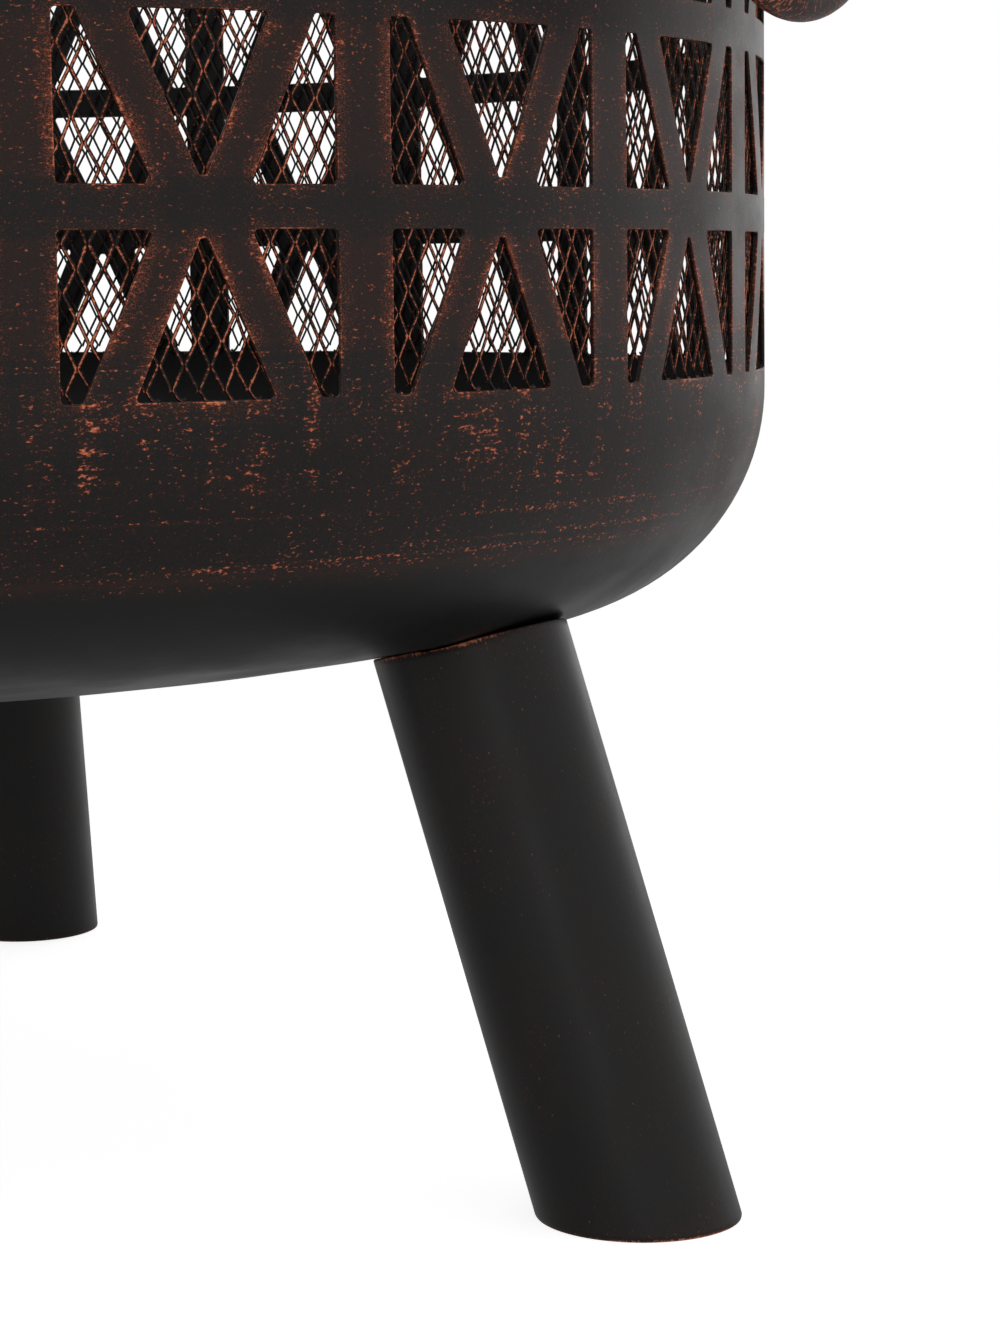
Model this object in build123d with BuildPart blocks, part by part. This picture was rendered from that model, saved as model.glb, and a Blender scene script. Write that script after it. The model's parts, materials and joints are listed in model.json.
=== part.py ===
"""Fire pit: a pierced steel drum with a mesh liner on three splayed tube legs, with a log grate."""

import os
from math import atan2, cos, degrees, radians, sin, sqrt, tan

from build123d import *

# Drum and bowl, in millimetres, heights above the floor
drum_radius = 305.0
sheet = 1.5
wall_foot = 245.6
wall_height = 238.4
bowl_depth = 98.9
knuckle_radius = 74.3

# Cut-outs in the wall
column_count = 20
row_count = 4
foot_band = 6.1
top_band = 20.9
window_band = 11.8
window_half_width = 39.1
triangle_half_base = 19.7
diagonal_bar = 13.6
pattern_turn = 4.5

# Mesh liner behind the cut-outs
liner_gap = 0.3
liner_thickness = 1.2
liner_raise = 1.3
liner_clearance = 4.0
mesh_around = 40
mesh_rows = 4
mesh_strand = 6.0

# Rim
rim_width = 64.0
rim_bead = 3.2
collar_depth = 16.0
collar_gap = 0.3

# Legs
leg_count = 3
leg_diameter = 60.3
leg_wall = 2.0
leg_splay = 18.46
leg_top_tilt = 13.3
leg_offset_share = 0.124
leg_gap = 0.2
plate_thickness = 4.0
plate_gap = 0.1
plug_height = 10.0

# Leg fasteners
bolt_diameter = 8.0
bolt_hole = 9.0
bolt_spread_share = 0.4312
bolt_head_diameter = 14.0
bolt_head_height = 5.0
bolt_tail = 4.0
washer_diameter = 16.0
washer_thickness = 1.6
nut_across_flats = 13.0
nut_height = 6.5
seat_gap = 0.1

# Ring handles and the lugs that carry them
ring_radius = 54.0
ring_bar = 13.0
ring_inset = 18.0
ring_drop = 16.5
lug_thickness = 5.0
lug_web = 3.2
ring_gap = 0.8

# Log grate
grate_clearance = 115.0
grate_rod = 10.0
grate_drop = 31.6
grate_bar_count = 9
grate_spread_share = 0.8842
grate_overhang = 6.0
grate_foot_count = 4
weld_gap = 0.1
floor_gap = 0.3

# Heights and radii that follow from the drum
wall_top = wall_foot + wall_height
bowl_bottom = wall_foot - bowl_depth
first_row = wall_foot + foot_band
rows_height = wall_height - foot_band - top_band
window_height = (rows_height - (row_count - 1) * window_band) / row_count
liner_foot = first_row + liner_raise
liner_top = wall_top - collar_depth - liner_clearance
rim_radius = drum_radius + rim_width
ring_hang_radius = rim_radius - ring_inset
ring_hang_height = wall_top - ring_drop
grate_radius = drum_radius - grate_clearance
grate_height = wall_foot - grate_drop
grate_bar_pitch = 2 * grate_radius * grate_spread_share / (grate_bar_count - 1)

# Bowl profile: a shallow crown meets the knuckle where both have one tangent
knuckle_centre = drum_radius - knuckle_radius
crown_radius = (knuckle_centre**2 + bowl_depth**2 - knuckle_radius**2) / (
    2 * (bowl_depth - knuckle_radius)
)
crown_centre = bowl_bottom + crown_radius
crown_angle = degrees(atan2(knuckle_centre, crown_centre - wall_foot))


def bowl_inside(radius):
    """Height of the bowl's inner face over its crown."""
    return crown_centre - sqrt((crown_radius - sheet) ** 2 - radius**2)


# The leg's flat top touches the bowl where the bowl leans as much, a little outside the leg's axis
leg_offset = leg_diameter * leg_offset_share
bolt_spread = leg_diameter * bolt_spread_share
seat_radius = knuckle_centre + knuckle_radius * sin(radians(leg_top_tilt))
seat_height = wall_foot - knuckle_radius * cos(radians(leg_top_tilt))
axis_radius = seat_radius - leg_offset * cos(radians(leg_top_tilt))
axis_height = seat_height - leg_offset * sin(radians(leg_top_tilt))
foot_radius = axis_radius + axis_height * tan(radians(leg_splay))
leg_length = axis_height / cos(radians(leg_splay))
leg_angles = [360.0 / leg_count * number for number in range(leg_count)]
leg_inner = leg_diameter / 2 - leg_wall


def tilted_plane(angle, tilt, radius, height, along):
    """Plane that leans inwards by a tilt at a point in a leg's own plane, moved along its normal."""
    lean = radians(tilt)
    point = Vector(radius - along * sin(lean), 0, height + along * cos(lean))
    return Plane(
        origin=point.rotate(Axis.Z, angle),
        x_dir=Vector(cos(lean), 0, sin(lean)).rotate(Axis.Z, angle),
        z_dir=Vector(-sin(lean), 0, cos(lean)).rotate(Axis.Z, angle),
    )


def leg_frame(angle, along):
    """Plane square to a leg's axis, a distance up that axis from the floor."""
    return tilted_plane(angle, leg_splay, foot_radius, 0, along)


def seat_frame(angle, along):
    """Plane of a leg's flat top against the bowl, moved along its normal."""
    return tilted_plane(angle, leg_top_tilt, seat_radius, seat_height, along)


def bolt_frames(along):
    """Planes across all the leg bolts, a distance up from the bowl's outer face."""
    frames = []
    for angle in leg_angles:
        seat = seat_frame(angle, along)
        for side in (-1, 1):
            centre = seat.from_local_coords((0, side * bolt_spread / 2, 0))
            frames.append(Plane(origin=centre, x_dir=seat.x_dir, z_dir=seat.z_dir))
    return frames


os.makedirs("parts", exist_ok=True)

# Drum wall
row_pitch = window_height + window_band

with BuildPart() as window_column:
    with BuildSketch(Plane.YZ.offset(drum_radius - 3 * sheet)) as windows:
        for row in range(row_count):
            low = first_row + row * row_pitch
            high = low + window_height
            base, tip = (low, high) if row % 2 == 0 else (high, low)
            with BuildLine():
                Polyline(
                    (-triangle_half_base, base),
                    (triangle_half_base, base),
                    (0, tip),
                    close=True,
                )
            make_face()
            for side in (-1, 1):
                with BuildLine():
                    Polyline(
                        (side * (triangle_half_base + diagonal_bar), base),
                        (side * window_half_width, base),
                        (side * window_half_width, tip),
                        (side * diagonal_bar, tip),
                        close=True,
                    )
                make_face()
    extrude(amount=6 * sheet)

with BuildPart() as drum_wall:
    with BuildSketch(Plane.XY.offset(wall_foot)):
        Circle(drum_radius)
        Circle(drum_radius - sheet, mode=Mode.SUBTRACT)
    extrude(amount=wall_top - wall_foot)
    with PolarLocations(0, column_count, start_angle=pattern_turn):
        add(window_column.part, mode=Mode.SUBTRACT)
drum_wall.part.label = "drum_wall"
export_step(drum_wall.part, "parts/drum_wall.step")

# Fire bowl
with BuildPart() as fire_bowl:
    with BuildSketch(Plane.XZ):
        with BuildLine():
            CenterArc((0, crown_centre), crown_radius, -90, crown_angle)
            CenterArc((knuckle_centre, wall_foot), knuckle_radius, crown_angle - 90, 90 - crown_angle)
            Line((drum_radius, wall_foot), (drum_radius - sheet, wall_foot))
            CenterArc((knuckle_centre, wall_foot), knuckle_radius - sheet, 0, crown_angle - 90)
            CenterArc((0, crown_centre), crown_radius - sheet, crown_angle - 90, -crown_angle)
            Line((0, bowl_bottom + sheet), (0, bowl_bottom))
        make_face()
    revolve(axis=Axis.Z)
    with Locations(*bolt_frames(0)):
        Cylinder(bolt_hole / 2, 6 * sheet, mode=Mode.SUBTRACT)
fire_bowl.part.label = "fire_bowl"
export_step(fire_bowl.part, "parts/fire_bowl.step")

# Mesh liner: an expanded sleeve, drawn with coarse diamonds in staggered rows
liner_outer = drum_radius - sheet - liner_gap
mesh_step = 360.0 / mesh_around
mesh_width = liner_outer * sin(radians(mesh_step))
mesh_pitch = (liner_top - liner_foot) / mesh_rows
strand_share = mesh_strand / mesh_width + mesh_strand / mesh_pitch
gap_width = mesh_width * (1 - strand_share)
gap_height = mesh_pitch * (1 - strand_share)
diamond = [(-gap_width / 2, 0), (0, -gap_height / 2), (gap_width / 2, 0), (0, gap_height / 2)]
mesh_middle = (liner_foot + liner_top) / 2
gap_plane = Plane.YZ.offset(liner_outer - 5 * liner_thickness)

with BuildPart() as full_rows:
    with BuildSketch(gap_plane):
        with Locations((0, mesh_middle)):
            with GridLocations(1, mesh_pitch, 1, mesh_rows):
                Polygon(*diamond)
    extrude(amount=10 * liner_thickness)

with BuildPart() as between_rows:
    with BuildSketch(gap_plane):
        with Locations((0, mesh_middle)):
            with GridLocations(1, mesh_pitch, 1, mesh_rows - 1):
                Polygon(*diamond)
    extrude(amount=10 * liner_thickness)

with BuildPart() as mesh_liner:
    with BuildSketch(Plane.XY.offset(liner_foot)):
        Circle(liner_outer)
        Circle(liner_outer - liner_thickness, mode=Mode.SUBTRACT)
    extrude(amount=liner_top - liner_foot)
    with PolarLocations(0, mesh_around):
        add(full_rows.part, mode=Mode.SUBTRACT)
    with PolarLocations(0, mesh_around, start_angle=mesh_step / 2):
        add(between_rows.part, mode=Mode.SUBTRACT)
mesh_liner.part.label = "mesh_liner"
export_step(mesh_liner.part, "parts/mesh_liner.step")

# Rim flange: a collar inside the wall, a flat ledge on its edge and a rolled bead
collar_outer = drum_radius - sheet - collar_gap
bead_centre = rim_radius - rim_bead
ledge_top = wall_top + sheet

with BuildPart() as rim_flange:
    with BuildSketch(Plane.XZ):
        with BuildLine():
            Polyline(
                (collar_outer - sheet, wall_top - collar_depth),
                (collar_outer, wall_top - collar_depth),
                (collar_outer, wall_top),
                (bead_centre, wall_top),
                (bead_centre, ledge_top),
                (collar_outer - sheet, ledge_top),
                close=True,
            )
        make_face()
        with Locations((bead_centre, ledge_top - rim_bead)):
            Circle(rim_bead)
    revolve(axis=Axis.Z)
    collar_mouth = rim_flange.edges().filter_by(GeomType.CIRCLE).group_by(Axis.Z)[-1]
    fillet(collar_mouth.sort_by(SortBy.LENGTH)[0], radius=sheet * 0.9)
rim_flange.part.label = "rim_flange"
export_step(rim_flange.part, "parts/rim_flange.step")

# Legs, the plates in their tops and the plugs in their feet
for number, angle in enumerate(leg_angles, start=1):
    with BuildPart() as leg:
        with BuildSketch(leg_frame(angle, leg_length + leg_diameter)):
            Circle(leg_diameter / 2)
            Circle(leg_inner, mode=Mode.SUBTRACT)
        extrude(amount=-leg_length - 2 * leg_diameter)
        split(bisect_by=Plane.XY, keep=Keep.TOP)
        split(bisect_by=seat_frame(angle, -leg_gap), keep=Keep.BOTTOM)
    leg.part.label = f"leg_{number}"
    export_step(leg.part, f"parts/leg_{number}.step")

    with BuildPart() as leg_plate:
        with BuildSketch(leg_frame(angle, leg_length + leg_diameter)):
            Circle(leg_inner - plate_gap)
        extrude(amount=-2 * leg_diameter)
        split(bisect_by=seat_frame(angle, -leg_gap), keep=Keep.BOTTOM)
        split(bisect_by=seat_frame(angle, -leg_gap - plate_thickness), keep=Keep.TOP)
        with Locations(*bolt_frames(-leg_gap)):
            Cylinder(bolt_hole / 2, 3 * plate_thickness, mode=Mode.SUBTRACT)
    leg_plate.part.label = f"leg_plate_{number}"
    export_step(leg_plate.part, f"parts/leg_plate_{number}.step")

with BuildPart() as foot_plugs:
    for angle in leg_angles:
        with BuildSketch(leg_frame(angle, leg_length / 2)):
            Circle(leg_inner - plate_gap)
        extrude(amount=-leg_length)
    split(bisect_by=Plane.XY, keep=Keep.TOP)
    split(bisect_by=Plane.XY.offset(plug_height), keep=Keep.BOTTOM)
foot_plugs.part.label = "foot_plugs"
export_step(foot_plugs.part, "parts/foot_plugs.step")

# Leg fasteners, set square to the bowl where the legs touch it
inner_knuckle = knuckle_radius - sheet
washer_rise = inner_knuckle - sqrt(inner_knuckle**2 - (washer_diameter / 2) ** 2)
washer_seat = sheet + washer_rise + seat_gap
head_seat = washer_seat + washer_thickness
nut_seat = -leg_gap - plate_thickness

with BuildPart() as leg_washers:
    for frame in bolt_frames(washer_seat):
        with BuildSketch(frame):
            Circle(washer_diameter / 2)
            Circle(bolt_hole / 2, mode=Mode.SUBTRACT)
        extrude(amount=washer_thickness)
leg_washers.part.label = "leg_washers"
export_step(leg_washers.part, "parts/leg_washers.step")

with BuildPart() as leg_bolts:
    for frame in bolt_frames(head_seat):
        with BuildSketch(frame):
            Circle(bolt_head_diameter / 2)
        extrude(amount=bolt_head_height, taper=20)
        with BuildSketch(frame):
            Circle(bolt_diameter / 2)
        extrude(amount=nut_seat - nut_height - bolt_tail - head_seat)
leg_bolts.part.label = "leg_bolts"
export_step(leg_bolts.part, "parts/leg_bolts.step")

with BuildPart() as leg_nuts:
    for frame in bolt_frames(nut_seat):
        with BuildSketch(frame):
            RegularPolygon(nut_across_flats / 2, 6, major_radius=False)
            Circle(bolt_diameter / 2 + seat_gap, mode=Mode.SUBTRACT)
        extrude(amount=-nut_height)
leg_nuts.part.label = "leg_nuts"
export_step(leg_nuts.part, "parts/leg_nuts.step")

# Ring handles and their lugs
lug_hole = ring_bar / 2 + ring_gap
lug_radius = lug_hole + lug_web
ring_middle = ring_hang_height - ring_radius

for side, sign in (("right", 1), ("left", -1)):
    hang = sign * ring_hang_radius
    with BuildPart() as handle_lug:
        with BuildSketch(Plane.XZ):
            with Locations((hang, ring_hang_height)):
                Circle(lug_radius)
            with Locations((hang, (ring_hang_height + wall_top) / 2)):
                Rectangle(2 * lug_radius, wall_top - ring_hang_height)
            with Locations((hang, ring_hang_height)):
                Circle(lug_hole, mode=Mode.SUBTRACT)
        extrude(amount=lug_thickness / 2, both=True)
    handle_lug.part.label = f"handle_lug_{side}"
    export_step(handle_lug.part, f"parts/handle_lug_{side}.step")

    with BuildPart() as ring_handle:
        with BuildSketch(Plane.XZ):
            with Locations((hang, ring_hang_height)):
                Circle(ring_bar / 2)
        revolve(axis=Axis((hang, 0, ring_middle), (1, 0, 0)))
    ring_handle.part.label = f"ring_handle_{side}"
    export_step(ring_handle.part, f"parts/ring_handle_{side}.step")

# Log grate: a hoop on four feet with bars across it
bar_height = grate_height + grate_rod + weld_gap
grate_foot_top = grate_height - grate_rod / 2 - weld_gap
grate_foot_end = bowl_inside(grate_radius + grate_rod / 2) + floor_gap

with BuildPart() as grate_hoop:
    with Locations((0, 0, grate_height)):
        Torus(grate_radius, grate_rod / 2)
grate_hoop.part.label = "grate_hoop"
export_step(grate_hoop.part, "parts/grate_hoop.step")

with BuildPart() as grate_bars:
    for index in range(grate_bar_count):
        across = (index - (grate_bar_count - 1) / 2) * grate_bar_pitch
        reach = sqrt(grate_radius**2 - across**2) + grate_overhang
        with Locations((across, 0, bar_height)):
            Cylinder(grate_rod / 2, 2 * reach, rotation=(90, 0, 0))
grate_bars.part.label = "grate_bars"
export_step(grate_bars.part, "parts/grate_bars.step")

with BuildPart() as grate_feet:
    with BuildSketch(Plane.XY.offset(grate_foot_end)):
        with PolarLocations(grate_radius, grate_foot_count, start_angle=180 / grate_foot_count):
            Circle(grate_rod / 2)
    extrude(amount=grate_foot_top - grate_foot_end)
grate_feet.part.label = "grate_feet"
export_step(grate_feet.part, "parts/grate_feet.step")
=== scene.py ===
"""Fire pit: a pierced steel drum with an expanded-metal liner on three splayed tube legs, with a log grate.

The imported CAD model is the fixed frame. Each sub-assembly is a class that builds its meshes from numpy arrays in
that frame and in metres, and dresses them with one of the finishes. Every mesh carries three marks for its shader:
chart, the point in the piece's own straightened frame, reach, the distance from the nearest cut edge in
centimetres, and brush, how the dry copper brush went over that place: from 0 for not at all to 1 for dense clumps,
and below 0 inside the drum.
"""

import json
import logging
import math
from collections.abc import Sequence
from dataclasses import dataclass, field
from enum import Enum
from typing import Self

import bmesh
import bpy
import numpy as np
from mathutils import Matrix, Vector

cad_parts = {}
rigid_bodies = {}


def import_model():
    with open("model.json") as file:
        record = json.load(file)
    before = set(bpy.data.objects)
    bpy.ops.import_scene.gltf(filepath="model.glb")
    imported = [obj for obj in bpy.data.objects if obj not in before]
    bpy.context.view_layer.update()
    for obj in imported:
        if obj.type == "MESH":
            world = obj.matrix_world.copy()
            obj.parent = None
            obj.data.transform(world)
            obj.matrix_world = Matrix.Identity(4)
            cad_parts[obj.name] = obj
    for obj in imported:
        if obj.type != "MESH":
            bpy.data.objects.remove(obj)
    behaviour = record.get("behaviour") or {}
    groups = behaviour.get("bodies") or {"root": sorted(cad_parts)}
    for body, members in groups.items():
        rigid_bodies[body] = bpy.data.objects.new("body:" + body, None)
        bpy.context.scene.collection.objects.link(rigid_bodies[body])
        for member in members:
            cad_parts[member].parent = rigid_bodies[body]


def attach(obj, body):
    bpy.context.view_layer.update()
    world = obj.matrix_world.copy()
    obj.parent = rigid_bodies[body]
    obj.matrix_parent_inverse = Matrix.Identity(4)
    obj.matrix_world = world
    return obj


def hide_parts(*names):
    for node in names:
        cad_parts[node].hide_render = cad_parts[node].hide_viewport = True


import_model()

Pair = tuple[float, float]
Triple = tuple[float, float, float]

LOG = logging.getLogger("fire_pit")
WELD = 2e-6  # metres within which points are merged
TINY = 1e-6  # least divisor
CENTIMETRES = 100.0  # in a metre
FAR = 3.0  # reach mark of places away from any edge
CLEAN = -1.0  # brush mark of places that the brush never reached


class Body(Enum):
    """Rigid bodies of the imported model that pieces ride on."""

    PIT = "pit"
    RIGHT_RING = "right_ring"
    LEFT_RING = "left_ring"
    LOG_GRATE = "log_grate"


class Slot(Enum):
    """Material slots that the finishes belong to."""

    BRONZE = "bronze_paint"
    MESH = "mesh_paint"
    LEG = "leg_paint"
    FASTENER = "fastener"
    PLUG = "plug_plastic"
    GRATE = "grate_steel"


class Finish(Enum):
    """Materials by name."""

    BRONZE = "bronze_paint"
    RING = "ring_paint"
    MESH = "mesh_paint"
    LEG = "leg_paint"
    PLATE = "plate_paint"
    FASTENER = "fastener"
    PLUG = "plug_plastic"
    GRATE = "grate_steel"


class Side(Enum):
    """Sides of the drum that carry a handle."""

    RIGHT = "right"
    LEFT = "left"


class HoopAxis(Enum):
    """Directions of a bent ring's axis."""

    LEVEL = "x"
    UPRIGHT = "z"


def smoothstep(low: float, high: float, value: np.ndarray) -> np.ndarray:
    """Cubic ramp from 0 at low to 1 at high, flat at both ends.

    Args:
        low: Value where the ramp leaves 0.
        high: Value where the ramp reaches 1.
        value: Values to map.

    Returns:
        The mapped values.
    """
    share = np.clip((value - low) / (high - low), 0.0, 1.0)
    return share * share * (3.0 - 2.0 * share)


def polar(radius: np.ndarray, angle: np.ndarray, height: np.ndarray) -> np.ndarray:
    """Points about the Z axis: x is radius times cosine, y is radius times sine.

    Args:
        radius: Distances from the axis.
        angle: Angles from the X axis in radians.
        height: Heights above the floor.

    Returns:
        Array of points with the broadcast shape and a last axis of three.
    """
    radius, angle, height = np.broadcast_arrays(radius, angle, height)
    return np.stack((radius * np.cos(angle), radius * np.sin(angle), height), axis=-1)


def lattice_faces(rows: int, columns: int, wrap_rows: bool = False, wrap_columns: bool = False) -> np.ndarray:
    """Four-sided faces between neighbours of a grid whose point (r, c) has the number r times columns plus c.

    Args:
        rows: Number of rows of points.
        columns: Number of points in a row.
        wrap_rows: Whether the last row joins the first.
        wrap_columns: Whether each row closes on itself.

    Returns:
        Array of faces, four point numbers each.
    """
    index = np.arange(rows * columns).reshape(rows, columns)
    if wrap_rows:
        index = np.vstack((index, index[:1]))
    if wrap_columns:
        index = np.hstack((index, index[:, :1]))
    corners = (index[:-1, :-1], index[:-1, 1:], index[1:, 1:], index[1:, :-1])
    return np.stack(corners, axis=-1).reshape(-1, 4)


@dataclass
class Surface:
    """One mesh as arrays, with the marks that its shader reads."""

    points: np.ndarray
    faces: np.ndarray
    chart: np.ndarray
    reach: np.ndarray
    brush: np.ndarray

    @classmethod
    def grid(
        cls,
        points: np.ndarray,
        reach: np.ndarray | float = FAR,
        brush: np.ndarray | float = 0.0,
        chart: np.ndarray | None = None,
        wrap_rows: bool = False,
        wrap_columns: bool = False,
    ) -> Self:
        """Surface over one grid of points or over a stack of equal grids.

        Args:
            points: Array of shape (..., rows, columns, 3).
            reach: Distance marks, broadcast to the points.
            brush: Brush marks, broadcast to the points.
            chart: Chart marks, or None where the points themselves are the chart.
            wrap_rows: Whether the last row joins the first.
            wrap_columns: Whether each row closes on itself.

        Returns:
            The surface.
        """
        rows, columns = points.shape[-3:-1]
        flat = points.reshape(-1, 3)
        stacks = np.arange(len(flat) // (rows * columns)) * rows * columns
        faces = lattice_faces(rows, columns, wrap_rows, wrap_columns)[None] + stacks[:, None, None]
        return cls(
            flat,
            faces.reshape(-1, 4),
            flat if chart is None else chart.reshape(-1, 3),
            np.broadcast_to(reach, points.shape[:-1]).ravel(),
            np.broadcast_to(brush, points.shape[:-1]).ravel(),
        )

    @classmethod
    def joined(cls, parts: Sequence[Self]) -> Self:
        """One surface of several.

        Args:
            parts: The surfaces to put together.

        Returns:
            The surface that holds them all.
        """
        starts = np.cumsum([0] + [len(part.points) for part in parts[:-1]])
        return cls(
            np.concatenate([part.points for part in parts]),
            np.concatenate([part.faces + start for part, start in zip(parts, starts)]),
            np.concatenate([part.chart for part in parts]),
            np.concatenate([part.reach for part in parts]),
            np.concatenate([part.brush for part in parts]),
        )

    def build(self, name: str, sharp: float = 38.0, weld: bool = True) -> bpy.types.Object:
        """Mesh object at the origin, with doubles merged, faces outwards and edges over an angle kept sharp.

        Args:
            name: Name of the object and its mesh.
            sharp: Angle between faces, in degrees, over which their edge stays sharp.
            weld: Whether points in one place are merged and the faces turned outwards.

        Returns:
            The object, linked to the scene.
        """
        mesh = bpy.data.meshes.new(name)
        mesh.from_pydata(self.points.tolist(), [], self.faces.tolist())
        layer = mesh.attributes.new("chart", "FLOAT_VECTOR", "POINT")
        layer.data.foreach_set("vector", np.ascontiguousarray(self.chart, np.float32).ravel())
        for key, values in (("reach", self.reach), ("brush", self.brush)):
            layer = mesh.attributes.new(key, "FLOAT", "POINT")
            layer.data.foreach_set("value", np.ascontiguousarray(values, np.float32))
        if weld:
            draft = bmesh.new()
            draft.from_mesh(mesh)
            bmesh.ops.remove_doubles(draft, verts=draft.verts, dist=WELD)
            bmesh.ops.recalc_face_normals(draft, faces=draft.faces)
            draft.to_mesh(mesh)
            draft.free()
        mesh.polygons.foreach_set("use_smooth", np.ones(len(mesh.polygons), dtype=bool))
        mesh.set_sharp_from_angle(angle=math.radians(sharp))
        piece = bpy.data.objects.new(name, mesh)
        bpy.context.scene.collection.objects.link(piece)
        LOG.info("%s: %d points, %d faces", name, len(mesh.vertices), len(mesh.polygons))
        return piece


def revolved(profile: np.ndarray, count: int, reach: np.ndarray | float = FAR, brush: float = 0.0) -> Surface:
    """Closed profile of (radius, height) points carried round the Z axis in equal steps.

    Args:
        profile: Array of shape (n, 2).
        count: Steps round the axis.
        reach: Distance mark of each profile point.
        brush: Brush mark of the whole surface.

    Returns:
        The surface, whose chart is a cylinder: the angle at the profile's middle radius, and the way along the profile.
    """
    angle = np.linspace(0.0, math.tau, count, endpoint=False)[:, None]
    points = polar(profile[None, :, 0], angle, profile[None, :, 1])
    steps = np.linalg.norm(np.diff(profile, axis=0, prepend=profile[:1]), axis=-1)
    chart = polar(np.full_like(points[..., 0], profile[:, 0].mean()), angle, np.cumsum(steps)[None, :])
    return Surface.grid(points, reach, brush, chart, wrap_rows=True, wrap_columns=True)


def rod(start: Triple, end: Triple, radius: float, round_end: float, sides: int = 20) -> Surface:
    """Round rod between two points with softly rounded ends.

    The radius along the rod is full but for each end, where it falls to 0 over a quarter ellipse.

    Args:
        start: First end's centre.
        end: Second end's centre.
        radius: Radius of the rod.
        round_end: Length of each rounded end as a share of the radius.
        sides: Points round the rod.

    Returns:
        The closed surface, whose chart runs along the rod's own axis.
    """
    tip_steps, body_steps, steep = 6, 7, 0.9
    start = np.asarray(start, float)
    axis = np.asarray(end, float) - start
    length = float(np.linalg.norm(axis))
    axis = axis / length
    side = np.cross(axis, (0.0, 0.0, 1.0) if abs(axis[2]) < steep else (1.0, 0.0, 0.0))
    side = side / np.linalg.norm(side)
    lift = np.cross(axis, side)
    turn = np.linspace(0.0, math.pi / 2, tip_steps)
    tip = radius * round_end
    body = np.linspace(tip, length - tip, body_steps + 2)[1:-1]
    along = np.concatenate((tip * (1.0 - np.cos(turn)), body, length - tip * (1.0 - np.cos(turn[::-1]))))
    girth = np.concatenate((radius * np.sin(turn), np.full(body_steps, radius), radius * np.sin(turn[::-1])))
    angle = np.linspace(0.0, math.tau, sides, endpoint=False)
    ring = np.cos(angle)[None, :, None] * side + np.sin(angle)[None, :, None] * lift
    points = start + along[:, None, None] * axis + girth[:, None, None] * ring
    chart = start + polar(girth[:, None], angle, along[:, None])
    return Surface.grid(points, chart=chart, wrap_columns=True)


def hoop(centre: Triple, radius: float, bar: float, axis: HoopAxis, steps: int, sides: int) -> Surface:
    """Round bar bent to a closed ring.

    Each point is the ring's circle plus the bar's circle in the plane of the ring's radius and its axis.

    Args:
        centre: Centre of the ring.
        radius: Radius of the ring to the bar's middle.
        bar: Radius of the bar.
        axis: Axis of the ring.
        steps: Points round the ring.
        sides: Points round the bar.

    Returns:
        The closed surface, whose chart runs along the bar of a ring with a level axis.
    """
    around = np.linspace(0.0, math.tau, steps, endpoint=False)[:, None] + math.pi / 2
    across = np.linspace(0.0, math.tau, sides, endpoint=False)[None, :]
    points = polar(radius + bar * np.cos(across), around, bar * np.sin(across))
    chart = None
    if axis is HoopAxis.LEVEL:
        points = points[..., [2, 0, 1]]
        chart = polar(bar, across, radius * around)
    return Surface.grid(points + np.asarray(centre, float), chart=chart, wrap_rows=True, wrap_columns=True)


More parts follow.
